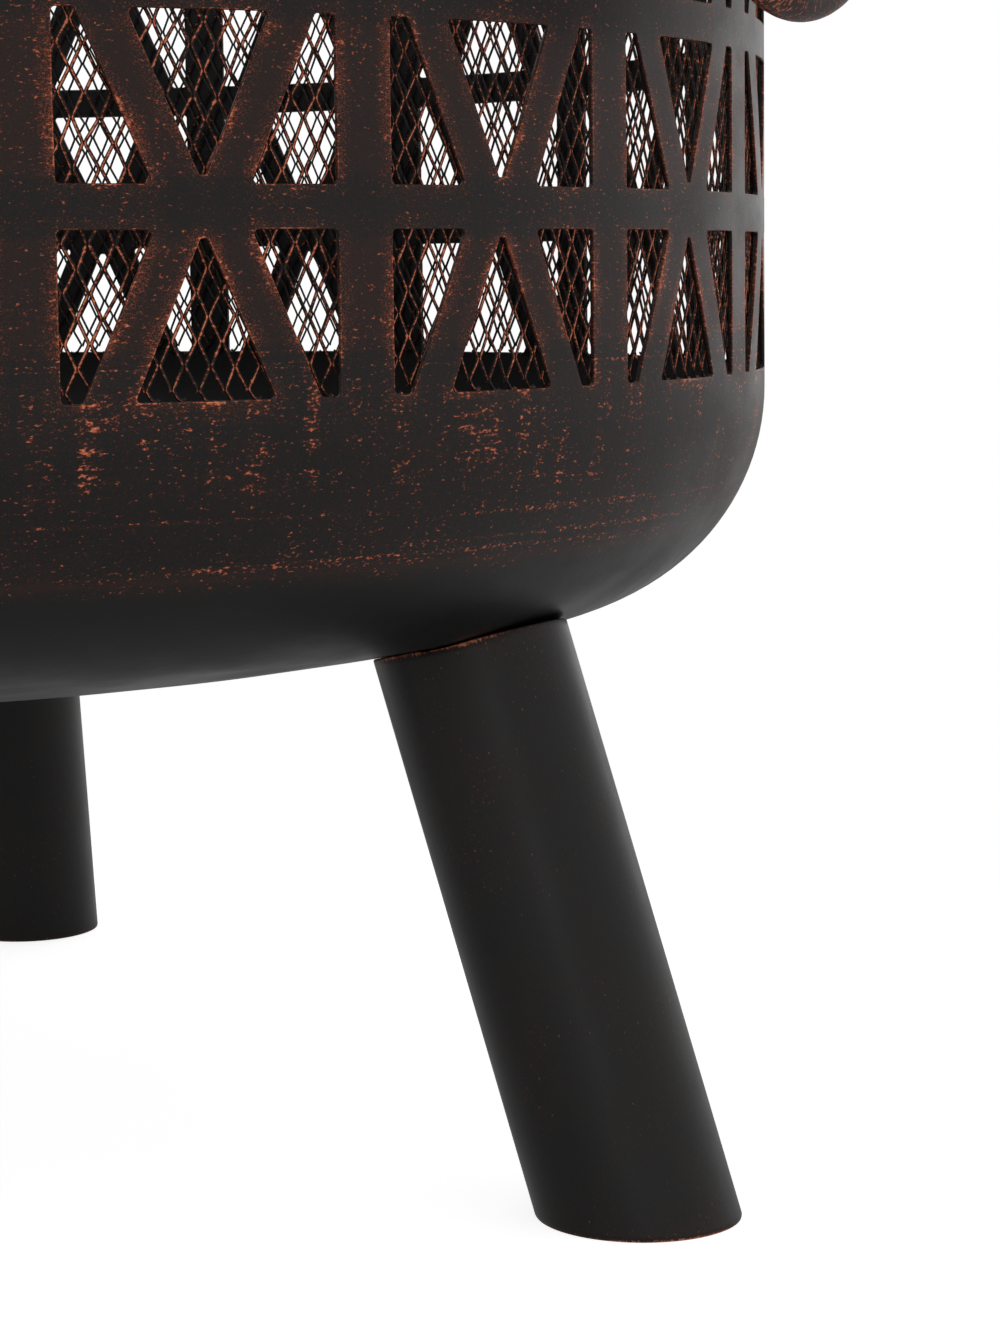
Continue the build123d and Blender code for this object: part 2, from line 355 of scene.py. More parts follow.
class Graph:
    """Writer of one node tree: adds nodes, sets or links their inputs and returns their outputs."""

    def __init__(self, tree: bpy.types.NodeTree) -> None:
        """Starts on an empty tree.

        Args:
            tree: The node tree to fill.
        """
        self.tree = tree
        self.tree.nodes.clear()

    def node(self, kind: str, **settings: object) -> bpy.types.Node:
        """Adds a node.

        Args:
            kind: Node type.
            **settings: Properties of the node.

        Returns:
            The node.
        """
        made = self.tree.nodes.new(kind)
        for key, value in settings.items():
            setattr(made, key, value)
        return made

    def put(self, socket: bpy.types.NodeSocket, value: object) -> None:
        """Links an output into a socket, or sets a constant on it.

        Args:
            socket: The input.
            value: An output socket, a number, or a tuple.
        """
        if isinstance(value, bpy.types.NodeSocket):
            self.tree.links.new(value, socket)
        else:
            socket.default_value = value

    def math(self, operation: str, *values: object) -> bpy.types.NodeSocket:
        """Arithmetic on numbers.

        Args:
            operation: Operation of the math node.
            *values: Outputs or constants.

        Returns:
            The result.
        """
        made = self.node("ShaderNodeMath", operation=operation)
        for socket, value in zip(made.inputs, values):
            self.put(socket, value)
        return made.outputs[0]

    def product(self, *values: object) -> bpy.types.NodeSocket:
        """Product of several numbers.

        Args:
            *values: Outputs or constants, at least two.

        Returns:
            The product.
        """
        result = values[0]
        for value in values[1:]:
            result = self.math("MULTIPLY", result, value)
        return result

    def total(self, *values: object) -> bpy.types.NodeSocket:
        """Sum of several numbers.

        Args:
            *values: Outputs or constants, at least two.

        Returns:
            The sum.
        """
        result = values[0]
        for value in values[1:]:
            result = self.math("ADD", result, value)
        return result

    def scaled(self, vector: object, scale: Triple) -> bpy.types.NodeSocket:
        """Vector multiplied by a scale for each axis.

        Args:
            vector: The vector output.
            scale: Scale along x, y and z.

        Returns:
            The scaled vector.
        """
        made = self.node("ShaderNodeVectorMath", operation="MULTIPLY")
        self.put(made.inputs[0], vector)
        self.put(made.inputs[1], scale)
        return made.outputs[0]

    def noise(self, vector: object, cells: Triple, detail: float, rough: float = 0.5) -> bpy.types.NodeSocket:
        """Noise with its own frequency along each axis, in cells for each metre.

        Args:
            vector: Coordinates in metres.
            cells: Cells for each metre along x, y and z.
            detail: Octaves over the first.
            rough: Weight of each octave against the one before.

        Returns:
            The noise value.
        """
        made = self.node("ShaderNodeTexNoise", noise_dimensions="3D")
        self.put(made.inputs["Vector"], self.scaled(vector, cells))
        self.put(made.inputs["Scale"], 1.0)
        self.put(made.inputs["Detail"], detail)
        self.put(made.inputs["Roughness"], rough)
        return made.outputs[0]

    def ramp(
        self, value: object, low: object, high: object, start: float = 0.0, end: float = 1.0
    ) -> bpy.types.NodeSocket:
        """Smooth ramp of a value, held outside the two limits.

        Args:
            value: The value to map.
            low: Limit where the result is start.
            high: Limit where the result is end.
            start: Result at and below low.
            end: Result at and above high.

        Returns:
            The mapped value.
        """
        made = self.node("ShaderNodeMapRange", interpolation_type="SMOOTHSTEP")
        for key, entry in zip(("Value", "From Min", "From Max", "To Min", "To Max"), (value, low, high, start, end)):
            self.put(made.inputs[key], entry)
        return made.outputs[0]

    def mask(
        self, vector: object, cells: Triple, detail: float, limits: Pair, rest: float = 0.0, rough: float = 0.5
    ) -> bpy.types.NodeSocket:
        """Noise turned into a mask by a smooth ramp.

        Args:
            vector: Coordinates in metres.
            cells: Cells for each metre along x, y and z.
            detail: Octaves over the first.
            limits: Noise values where the mask is at rest and where it is 1.
            rest: Value of the mask below the limits.
            rough: Weight of each octave against the one before.

        Returns:
            The mask.
        """
        return self.ramp(self.noise(vector, cells, detail, rough), *limits, rest)

    def mix(self, factor: object, first: object, second: object) -> bpy.types.NodeSocket:
        """Blend of two colours.

        Args:
            factor: Share of the second colour.
            first: First colour.
            second: Second colour.

        Returns:
            The blended colour.
        """
        made = self.node("ShaderNodeMix", data_type="RGBA")
        self.put(made.inputs[0], factor)
        self.put(made.inputs[6], first)
        self.put(made.inputs[7], second)
        return made.outputs[2]


def rgba(red: float, green: float, blue: float) -> tuple[float, float, float, float]:
    """Opaque colour for a colour socket, in linear light."""
    return (red, green, blue, 1.0)


def group_graph(name: str, inputs: dict[str, str], outputs: dict[str, str]) -> Graph:
    """Empty shader group with its sockets.

    Args:
        name: Name of the group.
        inputs: Socket type by name.
        outputs: Socket type by name.

    Returns:
        The writer of the group's tree.
    """
    tree = bpy.data.node_groups.new(name, "ShaderNodeTree")
    for direction, sockets in (("INPUT", inputs), ("OUTPUT", outputs)):
        for socket, kind in sockets.items():
            tree.interface.new_socket(name=socket, in_out=direction, socket_type=kind)
    return Graph(tree)


@dataclass(frozen=True)
class DryBrush:
    """Copper that a dry brush left, as a shader group.

    A fine grain passes a threshold where the brush pressed. Pressure is the sum of upright clumps broken into level
    rows, long level lines, cut edges with a fuzz beside them, and faint clouds. Off the brushed places it falls below
    nothing, so the plain bowl keeps no specks and the inside stays clean. A finer dust and an even wash tint the bars
    between the cut-outs.

    Cells are counted for each metre along the chart's axes. Limits are the noise values, and zones the brush marks,
    between which an effect grows from its rest to full. A press is an effect's share of the pressure. Reaches are in
    centimetres.
    """

    column_cells: Triple = (138.0, 138.0, 9.0)
    column_limits: Pair = (0.45, 0.64)
    row_cells: Triple = (70.0, 70.0, 520.0)
    row_limits: Pair = (0.40, 0.62)
    dense_zone: Pair = (0.62, 0.95)
    sparse_zone: Pair = (0.10, 0.30)
    sparse_share: float = 0.28
    clump_press: float = 0.122
    line_cells: Triple = (5.0, 5.0, 640.0)
    line_limits: Pair = (0.50, 0.66)
    patch_cells: Triple = (7.6, 7.6, 34.0)
    patch_limits: Pair = (0.26, 0.48)
    line_zone: Pair = (0.32, 0.58)
    line_fade: Pair = (0.64, 0.95)
    line_rest: float = 0.35
    line_press: float = 0.088
    chip_cells: Triple = (80.0, 80.0, 80.0)
    chip_limits: Pair = (0.32, 0.56)
    chip_rest: float = 0.50
    chip_rough: float = 0.6
    worn_cells: Triple = (24.0, 24.0, 24.0)
    worn_limits: Pair = (0.36, 0.60)
    worn_rest: float = 0.62
    edge_press: float = 0.32
    beside_reach: float = 0.66
    spot_cells: Triple = (52.0, 52.0, 52.0)
    spot_limits: Pair = (0.40, 0.64)
    spot_press: float = 0.080
    close_reach: float = 0.22
    comb_cells: Triple = (70.0, 70.0, 420.0)
    comb_limits: Pair = (0.40, 0.66)
    comb_press: float = 0.035
    bar_zone: Pair = (0.31, 0.41)
    bar_end: Pair = (0.43, 0.54)
    bar_fuzz: Pair = (0.70, 1.20)
    cloud_cells: Triple = (30.0, 30.0, 36.0)
    cloud_limits: Pair = (0.40, 0.66)
    cloud_press: float = 0.040
    dense_press: float = 0.004
    bare_zone: Pair = (0.0, 0.30)
    bare_press: float = 0.16
    inside_zone: Pair = (-1.0, -0.1)
    inside_press: float = 0.5
    grain_cells: Triple = (640.0, 640.0, 1350.0)
    grain_rough: float = 0.62
    grain_limits: Pair = (0.655, 0.755)
    bright_limits: Pair = (0.70, 0.92)
    dust_cells: Triple = (2100.0, 2100.0, 2800.0)
    dust_limits: Pair = (0.54, 0.76)
    veil: Pair = (0.16, 0.46)
    haze: float = 0.06
    wash: float = 0.020
    height: float = 0.6

    def clumps(self, graph: Graph, source: bpy.types.bpy_prop_collection, dense: object) -> bpy.types.NodeSocket:
        """Upright columns, broken into level rows.

        Args:
            graph: Writer of the group's tree.
            source: The group's inputs.
            dense: How dense the clumps are.

        Returns:
            Their pressure.
        """
        column = graph.mask(source["Vector"], self.column_cells, 1.0, self.column_limits)
        row = graph.mask(source["Vector"], self.row_cells, 2.0, self.row_limits)
        return graph.product(column, row, dense, source["Dashes"], self.clump_press)

    def lines(self, graph: Graph, source: bpy.types.bpy_prop_collection) -> bpy.types.NodeSocket:
        """Long level lines in loose patches.

        Args:
            graph: Writer of the group's tree.
            source: The group's inputs.

        Returns:
            Their pressure.
        """
        brush = source["Brush"]
        line = graph.mask(source["Vector"], self.line_cells, 1.0, self.line_limits)
        patch = graph.mask(source["Vector"], self.patch_cells, 1.0, self.patch_limits)
        start = graph.ramp(brush, *self.line_zone)
        fade = graph.ramp(brush, *self.line_fade, 1.0, self.line_rest)
        return graph.product(line, patch, start, fade, source["Dashes"], self.line_press)

    def edges(self, graph: Graph, source: bpy.types.bpy_prop_collection) -> bpy.types.NodeSocket:
        """Chipped cut edges, with a fuzz beside them that is stronger on the bars.

        Args:
            graph: Writer of the group's tree.
            source: The group's inputs.

        Returns:
            Their pressure.
        """
        where, reach = source["Vector"], source["Reach"]
        chips = graph.mask(where, self.chip_cells, 3.0, self.chip_limits, self.chip_rest, self.chip_rough)
        worn = graph.mask(where, self.worn_cells, 1.0, self.worn_limits, self.worn_rest)
        near = graph.ramp(reach, 0.0, source["Edge Width"], 1.0, 0.0)
        edge = graph.product(near, chips, worn, source["Edge"], self.edge_press)
        beside = graph.ramp(reach, 0.0, self.beside_reach, 1.0, 0.0)
        spots = graph.product(beside, graph.mask(where, self.spot_cells, 2.0, self.spot_limits), self.spot_press)
        close = graph.ramp(reach, 0.0, self.close_reach, 1.0, 0.0)
        comb = graph.product(close, graph.mask(where, self.comb_cells, 2.0, self.comb_limits), self.comb_press)
        bars = graph.ramp(source["Brush"], *self.bar_zone, *self.bar_fuzz)
        return graph.total(edge, graph.product(graph.total(spots, comb), source["Fuzz"], bars))

    def tint(
        self, graph: Graph, source: bpy.types.bpy_prop_collection, pressure: bpy.types.NodeSocket
    ) -> bpy.types.NodeSocket:
        """Faint copper below the grain: fine dust beside the edges and an even wash on the bars.

        Args:
            graph: Writer of the group's tree.
            source: The group's inputs.
            pressure: Pressure of the brush.

        Returns:
            Share of copper.
        """
        brush, fuzz = source["Brush"], source["Fuzz"]
        dust = graph.total(graph.noise(source["Vector"], self.dust_cells, 1.0), pressure)
        bars = graph.product(graph.ramp(brush, *self.bar_zone), graph.ramp(brush, *self.bar_end, 1.0, 0.0), fuzz)
        beside = graph.ramp(source["Reach"], 0.0, self.beside_reach, 1.0, 0.0)
        haze = graph.total(graph.product(beside, fuzz, graph.ramp(bars, 0.0, 1.0, *self.veil)), self.haze)
        return graph.total(graph.product(graph.ramp(dust, *self.dust_limits), haze), graph.product(bars, self.wash))

    def group(self) -> bpy.types.NodeTree:
        """Builds the group.

        Returns:
            The group, with outputs Copper, Bright and Height.
        """
        names = ("Reach", "Brush", "Bias", "Dashes", "Specks", "Edge Width", "Edge", "Fuzz")
        inputs = {"Vector": "NodeSocketVector", **dict.fromkeys(names, "NodeSocketFloat")}
        graph = group_graph("DryBrush", inputs, dict.fromkeys(("Copper", "Bright", "Height"), "NodeSocketFloat"))
        source = graph.node("NodeGroupInput").outputs
        where, brush = source["Vector"], source["Brush"]

        sparse = graph.ramp(brush, *self.sparse_zone, 0.0, self.sparse_share)
        dense = graph.math("MAXIMUM", graph.ramp(brush, *self.dense_zone), sparse)
        cloud = graph.product(graph.mask(where, self.cloud_cells, 3.0, self.cloud_limits), self.cloud_press)
        specks = graph.product(graph.total(cloud, graph.product(dense, self.dense_press)), source["Specks"])
        strokes = graph.total(self.clumps(graph, source, dense), self.lines(graph, source), self.edges(graph, source))
        bare = graph.ramp(brush, *self.bare_zone, self.bare_press, 0.0)
        bare = graph.total(bare, graph.ramp(brush, *self.inside_zone, self.inside_press, 0.0))
        pressure = graph.math("SUBTRACT", graph.total(strokes, specks, source["Bias"]), bare)

        grain = graph.total(graph.noise(where, self.grain_cells, 3.0, self.grain_rough), pressure)
        tint = self.tint(graph, source, pressure)
        copper = graph.math("MAXIMUM", graph.ramp(grain, *self.grain_limits), tint)
        sink = graph.node("NodeGroupOutput").inputs
        graph.put(sink["Copper"], copper)
        graph.put(sink["Bright"], graph.ramp(grain, *self.bright_limits))
        graph.put(sink["Height"], graph.product(copper, self.height))
        return graph.tree


@dataclass(frozen=True)
class SatinPaint:
    """Baked satin paint as a shader group: faint warm clouds in the colour, a fine grain in gloss and height."""

    cloud_cells: Triple = (24.0, 24.0, 40.0)
    cloud_rough: float = 0.6
    warm_limits: Pair = (0.35, 0.70)
    gloss_limits: Pair = (0.30, 0.70)
    gloss_spread: Pair = (-0.05, 0.06)
    grit_cells: Triple = (1500.0, 1500.0, 1500.0)
    grit_height: float = 0.5
    peel_cells: Triple = (420.0, 420.0, 420.0)

    def group(self) -> bpy.types.NodeTree:
        """Builds the group.

        Returns:
            The group, with outputs Color, Roughness and Height.
        """
        number, colour = "NodeSocketFloat", "NodeSocketColor"
        inputs = {"Vector": "NodeSocketVector", "Dark": colour, "Warm": colour, "Warmth": number, "Gloss": number}
        graph = group_graph("SatinPaint", inputs, {"Color": colour, "Roughness": number, "Height": number})
        source = graph.node("NodeGroupInput").outputs
        cloud = graph.noise(source["Vector"], self.cloud_cells, 4.0, self.cloud_rough)
        grit = graph.noise(source["Vector"], self.grit_cells, 2.0)
        peel = graph.noise(source["Vector"], self.peel_cells, 1.0)
        warmth = graph.product(graph.ramp(cloud, *self.warm_limits), source["Warmth"])
        spread = graph.ramp(cloud, *self.gloss_limits, *self.gloss_spread)
        sink = graph.node("NodeGroupOutput").inputs
        graph.put(sink["Color"], graph.mix(warmth, source["Dark"], source["Warm"]))
        graph.put(sink["Roughness"], graph.total(source["Gloss"], spread))
        graph.put(sink["Height"], graph.total(graph.product(grit, self.grit_height), peel))
        return graph.tree


class NodeGroups:
    """Shader effects that several finishes share, each made once."""

    def __init__(self) -> None:
        """Makes the groups."""
        self.dry_brush = DryBrush().group()
        self.satin_paint = SatinPaint().group()


@dataclass(frozen=True)
class BrushedPaint:
    """Satin paint with a dry-brushed copper wash over it.

    The copper share comes from the DryBrush group, and blends colour, roughness and metal from paint to copper.
    """

    finish: Finish
    slot: Slot
    dark: Triple = (0.0082, 0.0081, 0.0080)
    warm: Triple = (0.022, 0.0140, 0.0110)
    copper: Triple = (0.44, 0.102, 0.046)
    bright: Triple = (0.90, 0.30, 0.15)
    warmth: float = 0.40
    gloss: float = 0.44
    shine: float = 0.20
    bias: float = 0.0
    dashes: float = 1.0
    specks: float = 1.0
    edge_width: float = 0.06
    edge: float = 1.0
    fuzz: float = 1.0
    copper_rough: float = 0.08
    copper_metal: float = 0.25
    warm_zone: Pair = (0.0, 0.3)
    bump: float = 0.10
    bump_depth: float = 0.0004
    marked: bool = True

    def material(self, groups: NodeGroups) -> bpy.types.Material:
        """Builds the material.

        Args:
            groups: The shared shader groups.

        Returns:
            The material.
        """
        made = bpy.data.materials.new(self.finish.value)
        made.use_nodes = True
        graph = Graph(made.node_tree)
        if self.marked:
            where = graph.node("ShaderNodeAttribute", attribute_name="chart").outputs["Vector"]
            reach = graph.node("ShaderNodeAttribute", attribute_name="reach").outputs["Fac"]
            brush = graph.node("ShaderNodeAttribute", attribute_name="brush").outputs["Fac"]
            warmth = graph.product(graph.ramp(brush, *self.warm_zone), self.warmth)
        else:
            where = graph.node("ShaderNodeTexCoord").outputs["Object"]
            reach, brush, warmth = FAR, 0.0, self.warmth

        paint = graph.node("ShaderNodeGroup", node_tree=groups.satin_paint)
        colours = {"Dark": rgba(*self.dark), "Warm": rgba(*self.warm)}
        for key, value in {"Vector": where, **colours, "Warmth": warmth, "Gloss": self.gloss}.items():
            graph.put(paint.inputs[key], value)

        wash = graph.node("ShaderNodeGroup", node_tree=groups.dry_brush)
        marks = {"Vector": where, "Reach": reach, "Brush": brush}
        amounts = {"Bias": self.bias, "Dashes": self.dashes, "Specks": self.specks}
        edges = {"Edge Width": self.edge_width, "Edge": self.edge, "Fuzz": self.fuzz}
        for key, value in {**marks, **amounts, **edges}.items():
            graph.put(wash.inputs[key], value)

        share = wash.outputs["Copper"]
        copper = graph.mix(wash.outputs["Bright"], rgba(*self.copper), rgba(*self.bright))
        bump = graph.node("ShaderNodeBump")
        graph.put(bump.inputs["Strength"], self.bump)
        graph.put(bump.inputs["Distance"], self.bump_depth)
        graph.put(bump.inputs["Height"], graph.total(paint.outputs["Height"], wash.outputs["Height"]))
        rough = graph.total(paint.outputs["Roughness"], graph.product(share, self.copper_rough))
        shader = graph.node("ShaderNodeBsdfPrincipled")
        graph.put(shader.inputs["Base Color"], graph.mix(share, paint.outputs["Color"], copper))
        graph.put(shader.inputs["Roughness"], rough)
        graph.put(shader.inputs["Specular IOR Level"], self.shine)
        graph.put(shader.inputs["Metallic"], graph.product(share, self.copper_metal))
        graph.put(shader.inputs["Normal"], bump.outputs["Normal"])
        graph.put(graph.node("ShaderNodeOutputMaterial").inputs["Surface"], shader.outputs["BSDF"])
        return made


class PaintShop:
    """The finishes as materials, made once each."""

    def __init__(self) -> None:
        """Builds the shared groups and all materials."""
        groups = NodeGroups()
        paints = (
            BrushedPaint(Finish.BRONZE, Slot.BRONZE),
            BrushedPaint(Finish.RING, Slot.BRONZE, bias=0.05, specks=1.6),
            BrushedPaint(Finish.MESH, Slot.MESH, edge_width=0.3, edge=1.08, fuzz=0.0, gloss=0.5),
            BrushedPaint(
                Finish.LEG,
                Slot.LEG,
                dark=(0.0088, 0.0091, 0.0091),
                copper=(0.24, 0.070, 0.038),
                bright=(0.55, 0.22, 0.13),
                warmth=0.2,
                gloss=0.36,
                bias=-0.024,
                dashes=0.5,
                specks=1.25,
                edge_width=0.13,
                edge=0.95,
                fuzz=0.5,
            ),
            BrushedPaint(
                Finish.PLATE, Slot.LEG, marked=False, dark=(0.0090, 0.0091, 0.0090), warmth=0.3, gloss=0.4
            ),
            BrushedPaint(Finish.FASTENER, Slot.FASTENER, marked=False, dark=(0.012, 0.011, 0.011), gloss=0.34),
            BrushedPaint(
                Finish.PLUG, Slot.PLUG, marked=False, dark=(0.010, 0.010, 0.0105), gloss=0.6, specks=0.0, warmth=0.2
            ),
            BrushedPaint(
                Finish.GRATE,
                Slot.GRATE,
                dark=(0.030, 0.028, 0.027),
                warm=(0.075, 0.046, 0.033),
                gloss=0.46,
                bias=-0.06,
            ),
        )
        self.slots = {paint.finish: paint.slot for paint in paints}
        self.materials = {paint.finish: paint.material(groups) for paint in paints}

    def dress(self, piece: bpy.types.Object, finish: Finish) -> None:
        """Gives a piece its material.

        Args:
            piece: The mesh object.
            finish: The finish.
        """
        piece.data.materials.clear()
        piece.data.materials.append(self.materials[finish])
        LOG.info("%s: %s", piece.name, finish.value)

    def fit(self, piece: bpy.types.Object, finish: Finish, body: Body, *nodes: str) -> None:
        """Dresses a new piece, puts it on its body and takes the CAD nodes that it shows out of the picture.

        Args:
            piece: The mesh object.
            finish: The finish.
            body: The body that carries the piece.
            *nodes: CAD nodes that the piece stands for.
        """
        self.dress(piece, finish)
        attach(piece, body.value)
        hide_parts(*nodes)


@dataclass(frozen=True)
class Drum:
    """Pierced wall and pressed bowl, one continuous shell.

    Rings of points run round each cut-out, at shares of the way from its outline to its cell's border. Reach grows by
    cut_fall for each metre into the cut. Zones are heights over which the brush marks change.
    """

    radius: float = 0.305
    sheet: float = 0.0015
    wall_foot: float = 0.2456
    wall_top: float = 0.4840
    bowl_bottom: float = 0.1467
    knuckle: float = 0.0743
    columns: int = 20
    rows: int = 4
    first_row: float = 0.2517
    window: float = 0.0440
    band: float = 0.0118
    half_width: float = 0.0391
    half_base: float = 0.0197
    bar: float = 0.0136
    turn: float = math.radians(4.5)
    corner: float = 0.0013
    apex: float = 0.0010
    soft: float = 0.0003
    edge_samples: int = 10
    arc_shares: Pair = (0.33, 0.67)
    ring_shares: Triple = (1.0, 0.45, 0.18)
    outer_steps: tuple[int, int] = (26, 9)
    inner_steps: tuple[int, int] = (14, 7)
    cut_fall: float = 400.0
    line_zone: Pair = (0.195, 0.209)
    clump_zone: Pair = (0.219, 0.231)
    wall_zone: Pair = (0.2520, 0.2660)
    row_soft: float = 0.004
    line_mark: float = 0.6
    clump_mark: float = 1.0
    band_mark: float = 0.3
    row_mark: float = 0.42

    @property
    def half_column(self) -> float:
        """Half the chord of one column of cut-outs."""
        return self.radius * math.sin(math.pi / self.columns)

    def window_corners(self) -> np.ndarray:
        """Corners of a column's three cut-outs: left, centre, right, anticlockwise from the base's left end.

        Returns:
            Array of shape (3, 4, 2): across the wall, and up from the row's base to its tip.
        """
        inner, outer, high = self.half_base + self.bar, self.half_width, self.window
        right = [(inner, 0.0), (outer, 0.0), (outer, high), (self.bar, high)]
        left = [(-outer, 0.0), (-inner, 0.0), (-self.bar, high), (-outer, high)]
        tip = high * (1.0 - self.apex / self.half_base)
        centre = [(-self.half_base, 0.0), (self.half_base, 0.0), (self.apex, tip), (-self.apex, tip)]
        return np.array((left, centre, right))

    def cell_corners(self, below: float, above: float) -> np.ndarray:
        """Corners of the wall's cells round the three cut-outs, split along the middles of the diagonal bars.

        Args:
            below: Margin on the base's side of the row.
            above: Margin on the tip's side of the row.

        Returns:
            Array of shape (3, 4, 2) that matches window_corners.
        """
        slope = self.half_base / self.window
        wide = self.bar / 2 + self.half_base + slope * below
        narrow = self.bar / 2 - slope * above
        low, high, side = -below, self.window + above, self.half_column
        left = [(-side, low), (-wide, low), (-narrow, high), (-side, high)]
        centre = [(-wide, low), (wide, low), (narrow, high), (-narrow, high)]
        right = [(wide, low), (side, low), (side, high), (narrow, high)]
        return np.array((left, centre, right))

    def rounded_loops(self, corners: np.ndarray, radius: np.ndarray) -> np.ndarray:
        """Outlines with rounded corners, each edge sampled from one corner's middle to the next one's.

        A corner's arc has its centre on the bisector, at the radius over the sine of the half angle, and the arc
        meets the edges at the radius over the tangent of the half angle.

        Args:
            corners: Array of shape (n, 4, 2).
            radius: Corner radius of each outline, shape (n,).

        Returns:
            Array of shape (n, 4 times edge_samples, 2).
        """
        ahead = np.roll(corners, -1, axis=1) - corners
        ahead = ahead / np.linalg.norm(ahead, axis=-1, keepdims=True)
        back = -np.roll(ahead, 1, axis=1)
        middle = ahead + back
        middle = middle / np.linalg.norm(middle, axis=-1, keepdims=True)
        sine = np.sqrt(np.clip((1.0 - np.sum(ahead * back, axis=-1)) / 2.0, TINY, 1.0))[..., None]
        cosine = np.sqrt(1.0 - sine**2)
        size = radius[:, None, None]
        centre = corners + middle * size / sine
        leave = corners + ahead * size * cosine / sine
        arrive = corners + back * size * cosine / sine

        def arc(share: float, target: np.ndarray) -> np.ndarray:
            """Point between a corner's middle and where its arc meets an edge."""
            ray = (1.0 - share) * -middle + share * (target - centre) / size
            return centre + ray / np.linalg.norm(ray, axis=-1, keepdims=True) * size

        ends = np.roll(arrive, -1, axis=1)
        steps = self.edge_samples - 1 - 2 * len(self.arc_shares)
        first = [arc(share, leave) for share in (0.0, *self.arc_shares)]
        straight = [leave + (ends - leave) * share for share in np.linspace(0.0, 1.0, steps)]
        last = [np.roll(arc(share, arrive), -1, axis=1) for share in self.arc_shares[::-1]]
        return np.stack((*first, *straight, *last), axis=2).reshape(len(corners), -1, 2)

    def straight_loops(self, corners: np.ndarray) -> np.ndarray:
        """Outlines with sharp corners, each edge in equal steps.

        Args:
            corners: Array of shape (n, 4, 2).

        Returns:
            Array of shape (n, 4 times edge_samples, 2).
        """
        share = np.linspace(0.0, 1.0, self.edge_samples, endpoint=False)[:, None]
        ahead = np.roll(corners, -1, axis=1)
        return (corners[:, :, None] * (1.0 - share) + ahead[:, :, None] * share).reshape(len(corners), -1, 2)

    def margins(self, row: int) -> tuple[float, float, float, float]:
        """Place of a row's cut-outs: base height, direction from base to tip, and margins beyond base and tip.

        Args:
            row: Number of the row from the bottom.

        Returns:
            Base height, direction (1 up, -1 down), margin at the base and margin at the tip.
        """
        low = self.first_row + row * (self.window + self.band)
        high = low + self.window
        below = low - self.wall_foot if row == 0 else self.band / 2
        above = self.wall_top - high if row == self.rows - 1 else self.band / 2
        return (low, 1.0, below, above) if row % 2 == 0 else (high, -1.0, above, below)

    def brush_marks(self, height: np.ndarray) -> np.ndarray:
        """Strength of the copper brush by height.

        There is none on the bowl, level lines are on the knuckle, then upright clumps up to the cut-outs, and little is
        on the pierced wall, where the rows of cut-outs take more than the bands.

        Args:
            height: Heights above the floor.

        Returns:
            Marks from 0 to 1.
        """
        lines = self.line_mark * smoothstep(*self.line_zone, height)
        clumps = (self.clump_mark - self.line_mark) * smoothstep(*self.clump_zone, height)
        way = np.mod(height - self.first_row, self.window + self.band)
        in_row = smoothstep(0.0, self.row_soft, way) * (1.0 - smoothstep(self.window - self.row_soft, self.window, way))
        wall_mark = self.band_mark + (self.row_mark - self.band_mark) * in_row
        return lines + clumps - (self.clump_mark - wall_mark) * smoothstep(*self.wall_zone, height)

    def wall_row(self, row: int) -> Surface:
        """One row of the wall: rings from each cell's outer boundary to its cut-out, through the sheet and back.

        A ring's points are the cut-out's outline plus a share of the way to the cell's boundary, bent to the
        cylinder by the arcsine of the distance across over the radius.

        Args:
            row: Number of the row from the bottom.

        Returns:
            The row's outer face, cut edges and inner face.
        """
        base, way, below, above = self.margins(row)
        outline = self.rounded_loops(self.window_corners(), np.array((self.corner, self.apex, self.corner)))
        border = self.straight_loops(self.cell_corners(below, above))
        gap = border - outline
        width = np.linalg.norm(gap, axis=-1)
        levels = (
            *((share, 0.0, 0.0) for share in self.ring_shares),
            (0.0, self.soft, 0.0),
            (0.0, 0.0, -self.soft),
            (0.0, 0.0, 2 * self.soft - self.sheet),
            (0.0, self.soft, -self.sheet),
            (1.0, 0.0, -self.sheet),
        )
        share, step, depth = (np.array(column)[:, None, None] for column in zip(*levels))
        share = np.maximum(share, step / width)
        place = outline + share[..., None] * gap
        inside = depth <= -self.sheet
        reach = np.where(inside, FAR, share * width * CENTIMETRES - depth * self.cut_fall)
        columns = self.turn + np.arange(self.columns) * math.tau / self.columns
        angle = columns[:, None, None, None] + np.arcsin(place[..., 0] / self.radius)
        points = polar(self.radius + depth, angle, base + way * place[..., 1])
        points = np.moveaxis(points, 1, 2)
        reach = np.broadcast_to(np.moveaxis(reach, 0, 1), points.shape[:-1])
        brush = np.where(np.moveaxis(inside, 0, 1), CLEAN, self.brush_marks(points[..., 2]))
        return Surface.grid(points, reach, brush, wrap_columns=True)

    def ring_angles(self, row: int) -> np.ndarray:
        """Angles of the wall's points along the free boundary of its first or last row.

        Args:
            row: Number of the row.

        Returns:
            Angles round the whole drum.
        """
        _, _, below, above = self.margins(row)
        border = self.straight_loops(self.cell_corners(below, above))[:, : self.edge_samples, 0].ravel()
        columns = self.turn + np.arange(self.columns) * math.tau / self.columns
        return (columns[:, None] + np.arcsin(border / self.radius)).ravel()

